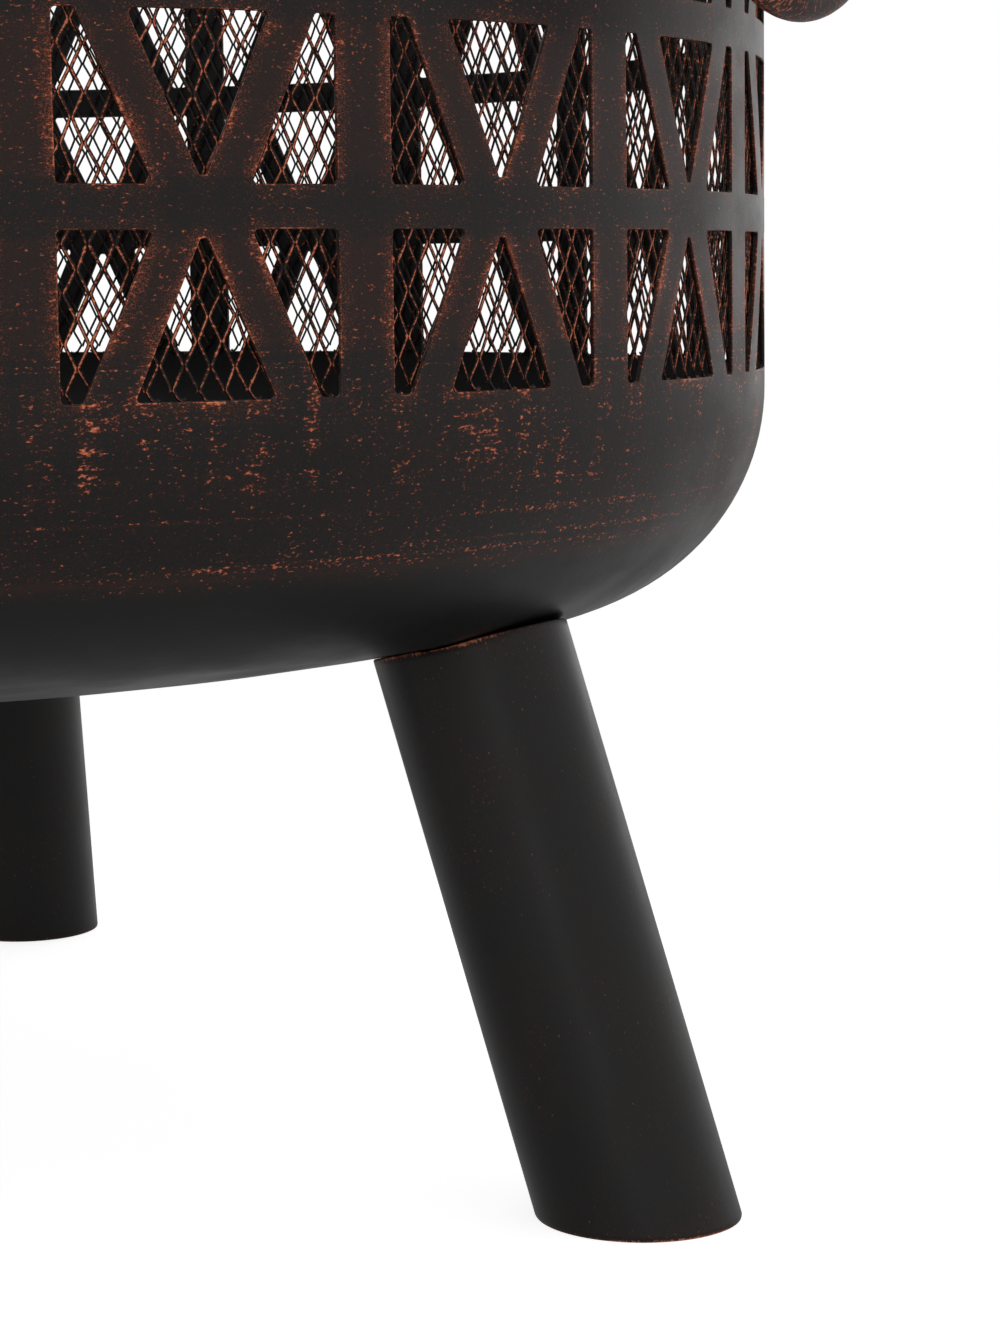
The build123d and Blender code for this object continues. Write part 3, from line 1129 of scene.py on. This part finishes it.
    def bowl_profile(self, depth: float, arc_steps: int, crown_steps: int) -> np.ndarray:
        """Half section of the bowl: a knuckle arc from the wall's foot, then the shallow crown to the axis.

        The crown's radius follows from the bowl's depth, so that both arcs share one tangent where they meet.

        Args:
            depth: Distance inside the bowl's outer face.
            arc_steps: Steps over the knuckle.
            crown_steps: Steps over the crown.

        Returns:
            Array of (radius, height) points.
        """
        inset = self.radius - self.knuckle
        fall = self.wall_foot - self.bowl_bottom
        crown = (inset**2 + fall**2 - self.knuckle**2) / (2.0 * (fall - self.knuckle))
        centre = self.bowl_bottom + crown
        meet = math.atan2(inset, centre - self.wall_foot)
        turn = np.linspace(0.0, math.pi / 2 - meet, arc_steps)
        knuckle = self.knuckle - depth
        arc = np.stack((inset + knuckle * np.cos(turn), self.wall_foot - knuckle * np.sin(turn)), axis=-1)
        lean = np.linspace(meet, 0.0, crown_steps)[1:]
        dome = np.stack(((crown - depth) * np.sin(lean), centre - (crown - depth) * np.cos(lean)), axis=-1)
        return np.concatenate((arc, dome))

    def shell(self) -> Surface:
        """The whole shell: all rows of the wall, its top edge, and both faces of the bowl.

        Returns:
            The closed surface.
        """
        parts = [self.wall_row(row) for row in range(self.rows)]
        top = self.ring_angles(self.rows - 1)
        edge = np.array((self.radius, self.radius - self.sheet))[:, None]
        parts.append(Surface.grid(polar(edge, top, self.wall_top), wrap_columns=True))
        foot = self.ring_angles(0)
        for depth, steps in ((0.0, self.outer_steps), (self.sheet, self.inner_steps)):
            profile = self.bowl_profile(depth, *steps)
            points = polar(profile[:, :1], foot[None, :], profile[:, 1:])
            brush = self.brush_marks(points[..., 2]) if depth == 0.0 else CLEAN
            parts.append(Surface.grid(points, FAR, brush, wrap_columns=True))
        return Surface.joined(parts)

    def build(self, shop: PaintShop) -> None:
        """Builds and dresses the shell.

        Args:
            shop: The finishes.
        """
        piece = self.shell().build("drum_shell")
        shop.fit(piece, Finish.BRONZE, Body.PIT, "drum_wall", "fire_bowl")


@dataclass(frozen=True)
class MeshLiner:
    """Expanded-metal sleeve behind the cut-outs, rolled from three sheets.

    A knuckle is where two neighbouring strands touch. The bends shape a strand from one knuckle to the next, as shares
    of the way. The hooks shape its cut end, as shares of half a diamond.
    """

    radius: float = 0.30235
    foot: float = 0.25445
    top: float = 0.46225
    around: int = 266
    half_rows: int = 33
    strand: float = 0.00082
    gauge: float = 0.0006
    lean: float = math.radians(28.0)
    turn: float = 0.0118
    sheets: int = 3
    seed: int = 7
    wander: float = 0.00022
    nesting: float = 0.42
    bend_heights: Triple = (0.0, 0.14, 0.86)
    bend_sides: Triple = (0.0, 0.105, 0.895)
    hook_sides: Triple = (1.15, 0.80, 0.40)
    hook_heights: Triple = (-0.40, -0.52, -0.36)
    hook_sizes: Pair = (0.75, 1.25)
    stub: float = 0.05
    # painted shade: less copper at the edges of the strands that rise to the other side
    painted_shade_reach: float = 0.07
    inner_reach: float = 0.42
    brush: float = 0.6
    sharp: float = 60.0

    def paths(self) -> np.ndarray:
        """Centre lines of all strands, unrolled: each zigzags between two neighbouring lines of knuckles.

        Strand number j stands on line j or j + 1 by turns. Between two knuckles it follows a flattened S. Below its
        lowest knuckle every second strand ends in a hook of its own length, where the sheet was cut, and the others in
        a short stub.

        Returns:
            Points of arc length and height, with the shape (strands, n, 2).
        """
        random = np.random.default_rng(self.seed)
        strands = 2 * self.around
        half_width = math.tau * self.radius / strands
        half_height = (self.top - self.foot) / self.half_rows
        level = np.arange(self.half_rows + 1)
        strand = np.arange(strands)[:, None]
        line = strand + (level[None, :] + strand) % 2
        wander = random.normal(0.0, 1.0, (2, strands, self.half_rows + 1)) * self.wander
        slot = line % strands
        knuckle_x = line * half_width + wander[0][slot, level[None, :]]
        knuckle_z = self.foot + level * half_height + wander[1][slot, level[None, :]]
        inward = np.where((level[None, :] + strand) % 2 == 0, 1.0, -1.0) * self.strand * self.nesting
        knuckle_x = knuckle_x + inward
        run_x = knuckle_x[:, :-1, None] + np.diff(knuckle_x, axis=1)[..., None] * self.bend_sides
        run_z = knuckle_z[:, :-1, None] + np.diff(knuckle_z, axis=1)[..., None] * self.bend_heights
        body_x = np.concatenate((run_x.reshape(strands, -1), knuckle_x[:, -1:]), axis=1)
        body_z = np.concatenate((run_z.reshape(strands, -1), knuckle_z[:, -1:]), axis=1)
        side = np.where(strand % 2 == 0, 1.0, -1.0)
        size = random.uniform(*self.hook_sizes, (strands, 1)) * np.where(side > 0.0, 1.0, self.stub)
        hook_x = np.array(self.hook_sides) * half_width * size * side + knuckle_x[:, :1]
        hook_z = np.array(self.hook_heights) * half_height * size + knuckle_z[:, :1]
        path_x, path_z = np.concatenate((hook_x, body_x), axis=1), np.concatenate((hook_z, body_z), axis=1)
        return np.stack((path_x, path_z), axis=-1)

    def sheet_surface(self, number: int) -> Surface:
        """One sheet's strands: a four-sided section carried along each centre line and rolled to the sleeve.

        The section stands on the line's normal in the sheet and on the sleeve's radius, turned by the lean that
        expanding the sheet leaves. The brush caught its outer corners. The strands that rise to one side carry more
        copper at their edges as a painted highlight of the light from that side, and the others less as painted shade.

        Args:
            number: Number of the sheet.

        Returns:
            The sheet's surface.
        """
        lines = self.paths()
        first, last = (len(lines) * step // self.sheets for step in (number, number + 1))
        lines = lines[first:last]
        ahead = np.gradient(lines, axis=1)
        ahead = ahead / np.linalg.norm(ahead, axis=-1, keepdims=True)
        normal = np.stack((-ahead[..., 1], ahead[..., 0]), axis=-1)
        half = np.array(((-1.0, -1.0), (1.0, -1.0), (1.0, 1.0), (-1.0, 1.0)))
        half = half * (self.strand / 2, self.gauge / 2)
        cosine, sine = math.cos(self.lean), math.sin(self.lean)
        across = half[:, 0] * cosine - half[:, 1] * sine
        out = half[:, 0] * sine + half[:, 1] * cosine
        flat = lines[:, :, None] + normal[:, :, None] * across[:, None]
        angle = flat[..., 0] / self.radius + self.turn
        points = polar(self.radius + out, angle, flat[..., 1])
        # Painted highlight and shade: strands that rise to one side get copper right at their edges, as if lit from
        # that side, and the others less.
        slope = np.broadcast_to(np.sign(ahead[..., :1]), flat.shape[:-1])
        reach = np.where(slope > 0, 0.0, self.painted_shade_reach) + self.inner_reach * (1.0 - out / out.max())
        surface = Surface.grid(points, reach, self.brush, wrap_columns=True)
        rows = lines.shape[1]
        start = np.arange(len(lines))[:, None] * rows * 4
        caps = np.concatenate((start + np.array((3, 2, 1, 0)), start + (rows - 1) * 4 + np.array((0, 1, 2, 3))))
        surface.faces = np.concatenate((surface.faces[:, ::-1], caps[:, ::-1]))
        return surface

    def build(self, shop: PaintShop) -> None:
        """Builds and dresses the sheets.

        Args:
            shop: The finishes.
        """
        for number in range(self.sheets):
            piece = self.sheet_surface(number).build(f"mesh_sheet_{number + 1}", self.sharp, weld=False)
            shop.fit(piece, Finish.MESH, Body.PIT, "mesh_liner")


@dataclass(frozen=True)
class Rim:
    """Rolled rim: a collar inside the wall, a flat ledge and a bead on its edge.

    The bead's crest and the mouth are worn, and reach grows by wear_fall for each metre away from them.
    """

    collar_outer: float = 0.3032
    sheet: float = 0.0015
    wall_top: float = 0.4840
    collar_depth: float = 0.0160
    outer: float = 0.3690
    bead: float = 0.0032
    bend: float = 0.0040
    flare: float = 0.0004
    throat: float = 0.0120
    ledge_stops: Pair = (0.325, 0.345)
    mouth_steps: int = 7
    roll_steps: int = 22
    roll_end: float = -0.96 * math.pi
    steps: int = 240
    wear_fall: float = 60.0
    brush: float = 0.35

    @property
    def top(self) -> float:
        """Height of the ledge."""
        return self.wall_top + self.sheet

    def profile(self) -> np.ndarray:
        """Closed half section, from the collar's foot up its inner side, over the ledge, round the bead and back.

        Returns:
            Array of (radius, height) points.
        """
        inner, top, under = self.collar_outer - self.sheet, self.top, self.wall_top
        collar_foot, middle = self.wall_top - self.collar_depth, self.outer - self.bead
        low = [(inner + self.flare, collar_foot), (inner, top - self.throat)]
        turn = np.linspace(math.pi, math.pi / 2, self.mouth_steps)
        mouth = np.stack((inner + self.bend * (1 + np.cos(turn)), top + self.bend * (np.sin(turn) - 1)), axis=-1)
        ledge = [(stop, top) for stop in self.ledge_stops]
        roll = np.linspace(math.pi / 2, self.roll_end, self.roll_steps)
        bead = np.stack((middle + self.bead * np.cos(roll), top - self.bead + self.bead * np.sin(roll)), axis=-1)
        below = [(middle - self.bead, under), *((stop, under) for stop in self.ledge_stops[::-1])]
        back = [(self.collar_outer, under), (self.collar_outer, collar_foot)]
        return np.concatenate((low, mouth, ledge, bead, below, back))

    def build(self, shop: PaintShop) -> None:
        """Builds and dresses the rim.

        Args:
            shop: The finishes.
        """
        profile = self.profile()
        crest, mouth = (self.outer, self.top - self.bead), (self.collar_outer - self.sheet, self.top)
        apart = [np.linalg.norm(profile - spot, axis=-1) for spot in (crest, mouth)]
        reach = np.minimum(np.minimum(*apart) * self.wear_fall, FAR)
        piece = revolved(profile, self.steps, reach, self.brush).build("rim_roll")
        shop.fit(piece, Finish.BRONZE, Body.PIT, "rim_flange")


@dataclass(frozen=True)
class Legs:
    """Three round tubes, cut level at the foot and flat against the bowl at the top.

    The shares are places along the tube between its two cuts, and the lip fields shape its top edge.
    """

    count: int = 3
    diameter: float = 0.0603
    wall: float = 0.0020
    splay: float = math.radians(18.46)
    foot_radius: float = 0.2978
    top_tilt: float = math.radians(13.3)
    seat_radius: float = 0.247793
    seat_height: float = 0.173293
    gap: float = 0.0002
    soft: float = 0.0007
    crown_radius: float = 1.16836
    crown_centre: float = 1.31506
    knuckle: float = 0.0743
    knuckle_inset: float = 0.2307
    knuckle_height: float = 0.2456
    lip_reach: float = 0.0020
    lip_fade: Pair = (1.2, 2.0)
    lip_gap: float = 0.00005
    lip_rest: float = 0.0005
    saddle: float = 0.055
    chamfer: float = 0.3
    sides: int = 96
    end_shares: Triple = (0.012, 0.03, 0.07)
    middle: Pair = (0.15, 0.85)
    middle_steps: int = 8
    chart_step: float = 0.5
    inner_reach: float = 0.3
    brush: float = 0.35

    def lip(self, radius: np.ndarray, angle: np.ndarray, top: np.ndarray) -> np.ndarray:
        """How far the tube's top edge rises above its flat cut, to close a narrow slit below the bowl.

        The slit is the height of the bowl's crown, or of its knuckle beyond the seat, at the edge's place, less the
        edge's own height. On the inner side it is closed where it is narrower than the reach. On the outer side the
        edge rises with its distance outwards.

        Args:
            radius: Distances from the tube's axis.
            angle: Angles round the tube's axis, from the outward side.
            top: Distances of the flat cut up the axis.

        Returns:
            Distances along the axis.
        """
        across, aside = radius * np.cos(angle), radius * np.sin(angle)
        out = self.foot_radius + across * math.cos(self.splay) - top * math.sin(self.splay)
        height = across * math.sin(self.splay) + top * math.cos(self.splay)
        spread = np.hypot(out, aside)
        crown = self.crown_centre - np.sqrt(self.crown_radius**2 - spread**2)
        turn = np.clip(spread - self.knuckle_inset, 0.0, self.knuckle)
        arc = self.knuckle_height - np.sqrt(self.knuckle**2 - turn**2)
        slit = np.where(spread > self.seat_radius, arc, crown) - height - self.lip_gap
        slit = np.maximum(slit, 0.0)
        closing = math.cos(self.splay) + math.sin(self.splay) * math.tan(self.top_tilt)
        inner = slit / closing * (1.0 - smoothstep(*self.lip_fade, slit / self.lip_reach))
        outer = np.minimum(self.saddle * across, slit - self.lip_rest)
        return np.where(across > 0.0, np.maximum(outer, 0.0), inner)

    def leg(self, number: int) -> Surface:
        """One tube: a closed wall section carried round the tube's axis.

        A point's distance up the axis runs from the level cut, which lies at minus its outward offset times the
        splay's tangent, to the flat top, which leans less than the leg and so falls outwards by the tangent of the
        difference.

        Args:
            number: Number of the leg.

        Returns:
            The closed surface, whose chart has the way up the tube first and the way round it last.
        """
        lean, outer = self.splay, self.diameter / 2
        inner = outer - self.wall
        tilt, turn = self.top_tilt, self.splay - self.top_tilt
        rise = math.sin(tilt) * (self.foot_radius - self.seat_radius) + math.cos(tilt) * self.seat_height - self.gap
        soft, bevel = self.soft, self.chamfer * self.soft
        ends = np.array(self.end_shares)
        shares = np.concatenate((ends, np.linspace(*self.middle, self.middle_steps), 1.0 - ends[::-1]))
        foot = [(inner, 0.0, 0.0), (outer - soft, 0.0, 0.0), (outer - bevel, 0.0, bevel)]
        body = [(outer, 0.0, soft), *((outer, share, 0.0) for share in shares), (outer, 1.0, -soft)]
        head = [(outer - bevel, 1.0, -bevel), (outer - soft, 1.0, 0.0), (inner, 1.0, 0.0), (inner, 0.5, 0.0)]
        radius, share, lift = (np.array(column)[:, None] for column in zip(*foot, *body, *head))
        angle = np.linspace(0.0, math.tau, self.sides, endpoint=False)[None, :]
        cut = -radius * np.cos(angle) * math.tan(lean)
        top = rise / math.cos(turn) - radius * np.cos(angle) * math.tan(turn)
        lip = self.lip(radius, angle, top)
        along = cut + share * (top - cut) + lift + np.where(share == 1.0, lip, 0.0)
        across, aside = radius * np.cos(angle), np.broadcast_to(radius * np.sin(angle), along.shape)
        out = self.foot_radius + across * math.cos(lean) - along * math.sin(lean)
        height = across * math.sin(lean) + along * math.cos(lean)
        azimuth = math.tau * number / self.count
        points = polar(out, azimuth, height) + polar(aside, azimuth + math.pi / 2, 0.0)
        round_way = radius * ((angle + math.pi) % math.tau - math.pi)
        chart = np.stack(np.broadcast_arrays(along, self.chart_step * number, round_way), axis=-1)
        reach = np.minimum(np.abs(along - cut), np.abs(top - along)) * CENTIMETRES
        reach = np.where(radius < outer - soft, self.inner_reach, reach)
        return Surface.grid(points, reach, self.brush, chart, wrap_rows=True, wrap_columns=True)

    def build(self, shop: PaintShop) -> None:
        """Builds and dresses the legs, and dresses the CAD plates, plugs and fasteners in them.

        Args:
            shop: The finishes.
        """
        for number in range(self.count):
            piece = self.leg(number).build(f"leg_tube_{number + 1}")
            shop.fit(piece, Finish.LEG, Body.PIT, f"leg_{number + 1}")
            shop.dress(bpy.data.objects[f"leg_plate_{number + 1}"], Finish.PLATE)
        shop.dress(bpy.data.objects["foot_plugs"], Finish.PLUG)
        for name in ("leg_bolts", "leg_washers", "leg_nuts"):
            shop.dress(bpy.data.objects[name], Finish.FASTENER)


@dataclass(frozen=True)
class RingHandle:
    """Drop ring on a pierced lug under the rim."""

    side: Side
    sign: float
    body: Body
    hang_radius: float = 0.3510
    hang_height: float = 0.4675
    ring: float = 0.0540
    bar: float = 0.0130
    gap: float = 0.0008
    web: float = 0.0032
    thickness: float = 0.0050
    wall_top: float = 0.4840
    soft: float = 0.0006
    lug_steps: int = 96
    lug_brush: float = 0.2
    ring_steps: int = 144
    ring_sides: int = 32
    ring_brush: float = 0.8

    def lug(self) -> Surface:
        """Flat lug: rings of points from its hole's edge to its outline, on both faces.

        The outline is a half circle below the hole and straight sides up to the rim above it, found along each
        ray from the hole's centre.

        Returns:
            The closed surface.
        """
        hole = self.bar / 2 + self.gap
        outer = hole + self.web
        rise = self.wall_top - self.hang_height
        turn = np.linspace(0.0, math.tau, self.lug_steps, endpoint=False)
        corner = math.atan2(rise, outer)
        turn = np.sort(np.concatenate((turn, (corner, math.pi - corner))))
        cosine, sine = np.cos(turn), np.sin(turn)
        straight = np.minimum(outer / np.maximum(np.abs(cosine), TINY), rise / np.maximum(sine, TINY))
        limit = np.where(sine > 0.0, straight, outer)
        half, soft = self.thickness / 2, self.soft
        levels = (
            (0.0, 0.0, half - soft),
            (0.0, soft, half),
            (1.0, -soft, half),
            (1.0, 0.0, half - soft),
            (1.0, 0.0, soft - half),
            (1.0, -soft, -half),
            (0.0, soft, -half),
            (0.0, 0.0, soft - half),
        )
        share, step, depth = (np.array(column)[:, None] for column in zip(*levels))
        radius = hole + share * (limit - hole) + step
        out, height = self.sign * self.hang_radius + radius * cosine, self.hang_height + radius * sine
        points = np.stack(np.broadcast_arrays(out, depth, height), axis=-1)
        return Surface.grid(points, np.abs(step) * CENTIMETRES, self.lug_brush, wrap_rows=True, wrap_columns=True)

    def build(self, shop: PaintShop) -> None:
        """Builds and dresses the ring and its lug.

        Args:
            shop: The finishes.
        """
        side = self.side.value
        shop.fit(self.lug().build(f"ring_lug_{side}"), Finish.BRONZE, Body.PIT, f"handle_lug_{side}")
        centre = (self.sign * self.hang_radius, 0.0, self.hang_height - self.ring)
        surface = hoop(centre, self.ring, self.bar / 2, HoopAxis.LEVEL, self.ring_steps, self.ring_sides)
        surface.brush = np.full(len(surface.points), self.ring_brush)
        shop.fit(surface.build(f"drop_ring_{side}"), Finish.RING, self.body, f"ring_handle_{side}")


@dataclass(frozen=True)
class LogGrate:
    """Loose grate: bars welded across a hoop on four feet."""

    radius: float = 0.190
    rod: float = 0.010
    height: float = 0.2140
    bars: int = 9
    spread: float = 0.8842
    overhang: float = 0.006
    feet: int = 4
    weld: float = 0.0001
    foot_end: float = 0.1654
    bar_round: float = 0.35
    foot_round: float = 0.2
    hoop_steps: int = 160
    hoop_sides: int = 20

    def bar_surface(self) -> Surface:
        """All bars, side by side across the hoop.

        Returns:
            The surface of all the rods.
        """
        pitch = 2.0 * self.radius * self.spread / (self.bars - 1)
        level = self.height + self.rod + self.weld
        rods = []
        for number in range(self.bars):
            across = (number - (self.bars - 1) / 2) * pitch
            half = math.sqrt(self.radius**2 - across**2) + self.overhang
            rods.append(rod((across, -half, level), (across, half, level), self.rod / 2, self.bar_round))
        return Surface.joined(rods)

    def foot_surface(self) -> Surface:
        """All feet, upright under the hoop.

        Returns:
            The surface of all the rods.
        """
        top = self.height - self.rod / 2 - self.weld
        rods = []
        for number in range(self.feet):
            angle = math.tau * (number + 0.5) / self.feet
            spot = (self.radius * math.cos(angle), self.radius * math.sin(angle))
            rods.append(rod((*spot, self.foot_end), (*spot, top), self.rod / 2, self.foot_round))
        return Surface.joined(rods)

    def build(self, shop: PaintShop) -> None:
        """Builds and dresses the grate.

        Args:
            shop: The finishes.
        """
        centre, half = (0.0, 0.0, self.height), self.rod / 2
        surfaces = {
            "grate_hoop": hoop(centre, self.radius, half, HoopAxis.UPRIGHT, self.hoop_steps, self.hoop_sides),
            "grate_bars": self.bar_surface(),
            "grate_feet": self.foot_surface(),
        }
        for name, surface in surfaces.items():
            shop.fit(surface.build(f"{name}_rod"), Finish.GRATE, Body.LOG_GRATE, name)


@dataclass(frozen=True)
class Softbox:
    """One square area light."""

    name: str
    place: Triple
    aim: Triple
    size: float
    power: float

    def build(self) -> None:
        """Adds the light, turned to its aim."""
        data = bpy.data.lights.new(self.name, "AREA")
        data.shape = "SQUARE"
        data.size = self.size
        data.energy = self.power
        lamp = bpy.data.objects.new(self.name, data)
        lamp.location = self.place
        lamp.visible_camera = False
        lamp.rotation_euler = (Vector(self.aim) - Vector(self.place)).to_track_quat("-Z", "Y").to_euler()
        bpy.context.scene.collection.objects.link(lamp)


@dataclass(frozen=True)
class Studio:
    """Camera of the photograph, soft lights, white backdrop and pale floor."""

    distance: float = 1.1426
    bearing: float = math.radians(-47.99)
    eye: float = 0.2842
    yaw: float = math.radians(10.83)
    pitch: float = math.radians(6.866)
    roll: float = math.radians(-0.662)
    lens: float = 88.65
    sensor: float = 36.0
    clip_start: float = 0.01
    fill: float = 0.78
    sky: float = 0.28
    sky_band: Pair = (0.15, 0.75)
    floor_half: float = 12.0
    floor_tone: float = 0.9
    floor_glow: float = 0.81
    floor_bounce: float = 0.19
    floor_fade: Pair = (0.36, 0.60)
    lights: tuple[Softbox, ...] = (
        Softbox("top_box", (0.3, 0.3, 2.6), (0.0, 0.0, 0.3), 2.0, 8.0),
        Softbox("front_box", (1.5, -2.0, 0.8), (0.0, 0.0, 0.3), 0.9, 1.5),
        Softbox("back_box", (0.05, 2.6, 0.9), (0.0, 0.0, 0.3), 1.6, 3.6),
    )

    def camera(self) -> None:
        """Places the camera: right, up and back axes from heading, pitch and roll."""
        heading = self.bearing + math.pi - self.yaw
        right = np.array((math.sin(heading), -math.cos(heading), 0.0))
        ahead = np.array(
            (
                math.cos(heading) * math.cos(self.pitch),
                math.sin(heading) * math.cos(self.pitch),
                -math.sin(self.pitch),
            )
        )
        above = np.cross(right, ahead)
        across = math.cos(self.roll) * right + math.sin(self.roll) * above
        upward = math.cos(self.roll) * above - math.sin(self.roll) * right
        data = bpy.data.cameras.new("photo_camera")
        data.lens = self.lens
        data.sensor_width = self.sensor
        data.clip_start = self.clip_start
        view = bpy.data.objects.new("photo_camera", data)
        place = (self.distance * math.cos(self.bearing), self.distance * math.sin(self.bearing), self.eye)
        turn = Matrix((across, upward, -ahead)).transposed().to_4x4()
        view.matrix_world = Matrix.Translation(place) @ turn
        bpy.context.scene.collection.objects.link(view)
        bpy.context.scene.camera = view

    def world(self) -> None:
        """White to the camera and in reflections; the light it gives is a dimmer grey that fades overhead."""
        world = bpy.data.worlds.new("studio_world")
        world.use_nodes = True
        bpy.context.scene.world = world
        graph = Graph(world.node_tree)
        seen = graph.node("ShaderNodeBackground")
        graph.put(seen.inputs["Color"], rgba(1.0, 1.0, 1.0))
        graph.put(seen.inputs["Strength"], 1.0)
        light = graph.node("ShaderNodeBackground")
        graph.put(light.inputs["Color"], rgba(1.0, 1.0, 1.0))
        apart = graph.node("ShaderNodeSeparateXYZ")
        graph.put(apart.inputs[0], graph.node("ShaderNodeTexCoord").outputs["Generated"])
        graph.put(light.inputs["Strength"], graph.ramp(apart.outputs["Z"], *self.sky_band, self.fill, self.sky))
        path = graph.node("ShaderNodeLightPath")
        blend = graph.node("ShaderNodeMixShader")
        shown = graph.math("MAXIMUM", path.outputs["Is Camera Ray"], path.outputs["Is Glossy Ray"])
        shown = graph.math("MAXIMUM", shown, path.outputs["Is Transmission Ray"])
        graph.put(blend.inputs[0], shown)
        graph.put(blend.inputs[1], light.outputs[0])
        graph.put(blend.inputs[2], seen.outputs[0])
        graph.put(graph.node("ShaderNodeOutputWorld").inputs["Surface"], blend.outputs[0])

    def floor(self) -> None:
        """Pale floor: shows the soft shadows round the feet, and fades to the white of the backdrop away from them."""
        half = self.floor_half
        corners = [(-half, -half, 0.0), (half, -half, 0.0), (half, half, 0.0), (-half, half, 0.0)]
        mesh = bpy.data.meshes.new("studio_floor")
        mesh.from_pydata(corners, [], [(0, 1, 2, 3)])
        floor = bpy.data.objects.new("studio_floor", mesh)
        bpy.context.scene.collection.objects.link(floor)
        material = bpy.data.materials.new("studio_floor")
        material.use_nodes = True
        graph = Graph(material.node_tree)
        matte = graph.node("ShaderNodeBsdfDiffuse")
        graph.put(matte.inputs["Color"], rgba(self.floor_tone, self.floor_tone, self.floor_tone))
        path = graph.node("ShaderNodeLightPath")
        glow = graph.node("ShaderNodeEmission")
        seen = path.outputs["Is Camera Ray"]
        graph.put(glow.inputs["Strength"], graph.ramp(seen, 0.0, 1.0, self.floor_bounce, self.floor_glow))
        both = graph.node("ShaderNodeAddShader")
        graph.put(both.inputs[0], matte.outputs[0])
        graph.put(both.inputs[1], glow.outputs[0])
        far = graph.node("ShaderNodeVectorMath", operation="LENGTH")
        graph.put(far.inputs[0], graph.node("ShaderNodeTexCoord").outputs["Object"])
        beyond = graph.ramp(far.outputs["Value"], *self.floor_fade)
        blend = graph.node("ShaderNodeMixShader")
        graph.put(blend.inputs[0], graph.product(beyond, seen))
        graph.put(blend.inputs[1], both.outputs[0])
        backdrop = graph.node("ShaderNodeEmission")
        graph.put(blend.inputs[2], backdrop.outputs[0])
        graph.put(graph.node("ShaderNodeOutputMaterial").inputs["Surface"], blend.outputs[0])
        mesh.materials.append(material)

    def build(self) -> None:
        """Sets up the whole studio."""
        bpy.context.scene.view_settings.view_transform = "Standard"
        self.camera()
        self.world()
        self.floor()
        for light in self.lights:
            light.build()


@dataclass(frozen=True)
class FirePit:
    """The whole object."""

    drum: Drum = field(default_factory=Drum)
    liner: MeshLiner = field(default_factory=MeshLiner)
    rim: Rim = field(default_factory=Rim)
    legs: Legs = field(default_factory=Legs)
    handles: tuple[RingHandle, ...] = (
        RingHandle(Side.RIGHT, 1.0, Body.RIGHT_RING),
        RingHandle(Side.LEFT, -1.0, Body.LEFT_RING),
    )
    grate: LogGrate = field(default_factory=LogGrate)

    def build(self, shop: PaintShop) -> None:
        """Builds every sub-assembly.

        Args:
            shop: The finishes.
        """
        for part in (self.drum, self.liner, self.rim, self.legs, *self.handles, self.grate):
            part.build(shop)


def main() -> None:
    """Builds the fire pit in its studio."""
    logging.basicConfig(level=logging.INFO, format="%(name)s: %(message)s")
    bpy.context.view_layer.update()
    FirePit().build(PaintShop())
    Studio().build()


if __name__ == "__main__":
    main()
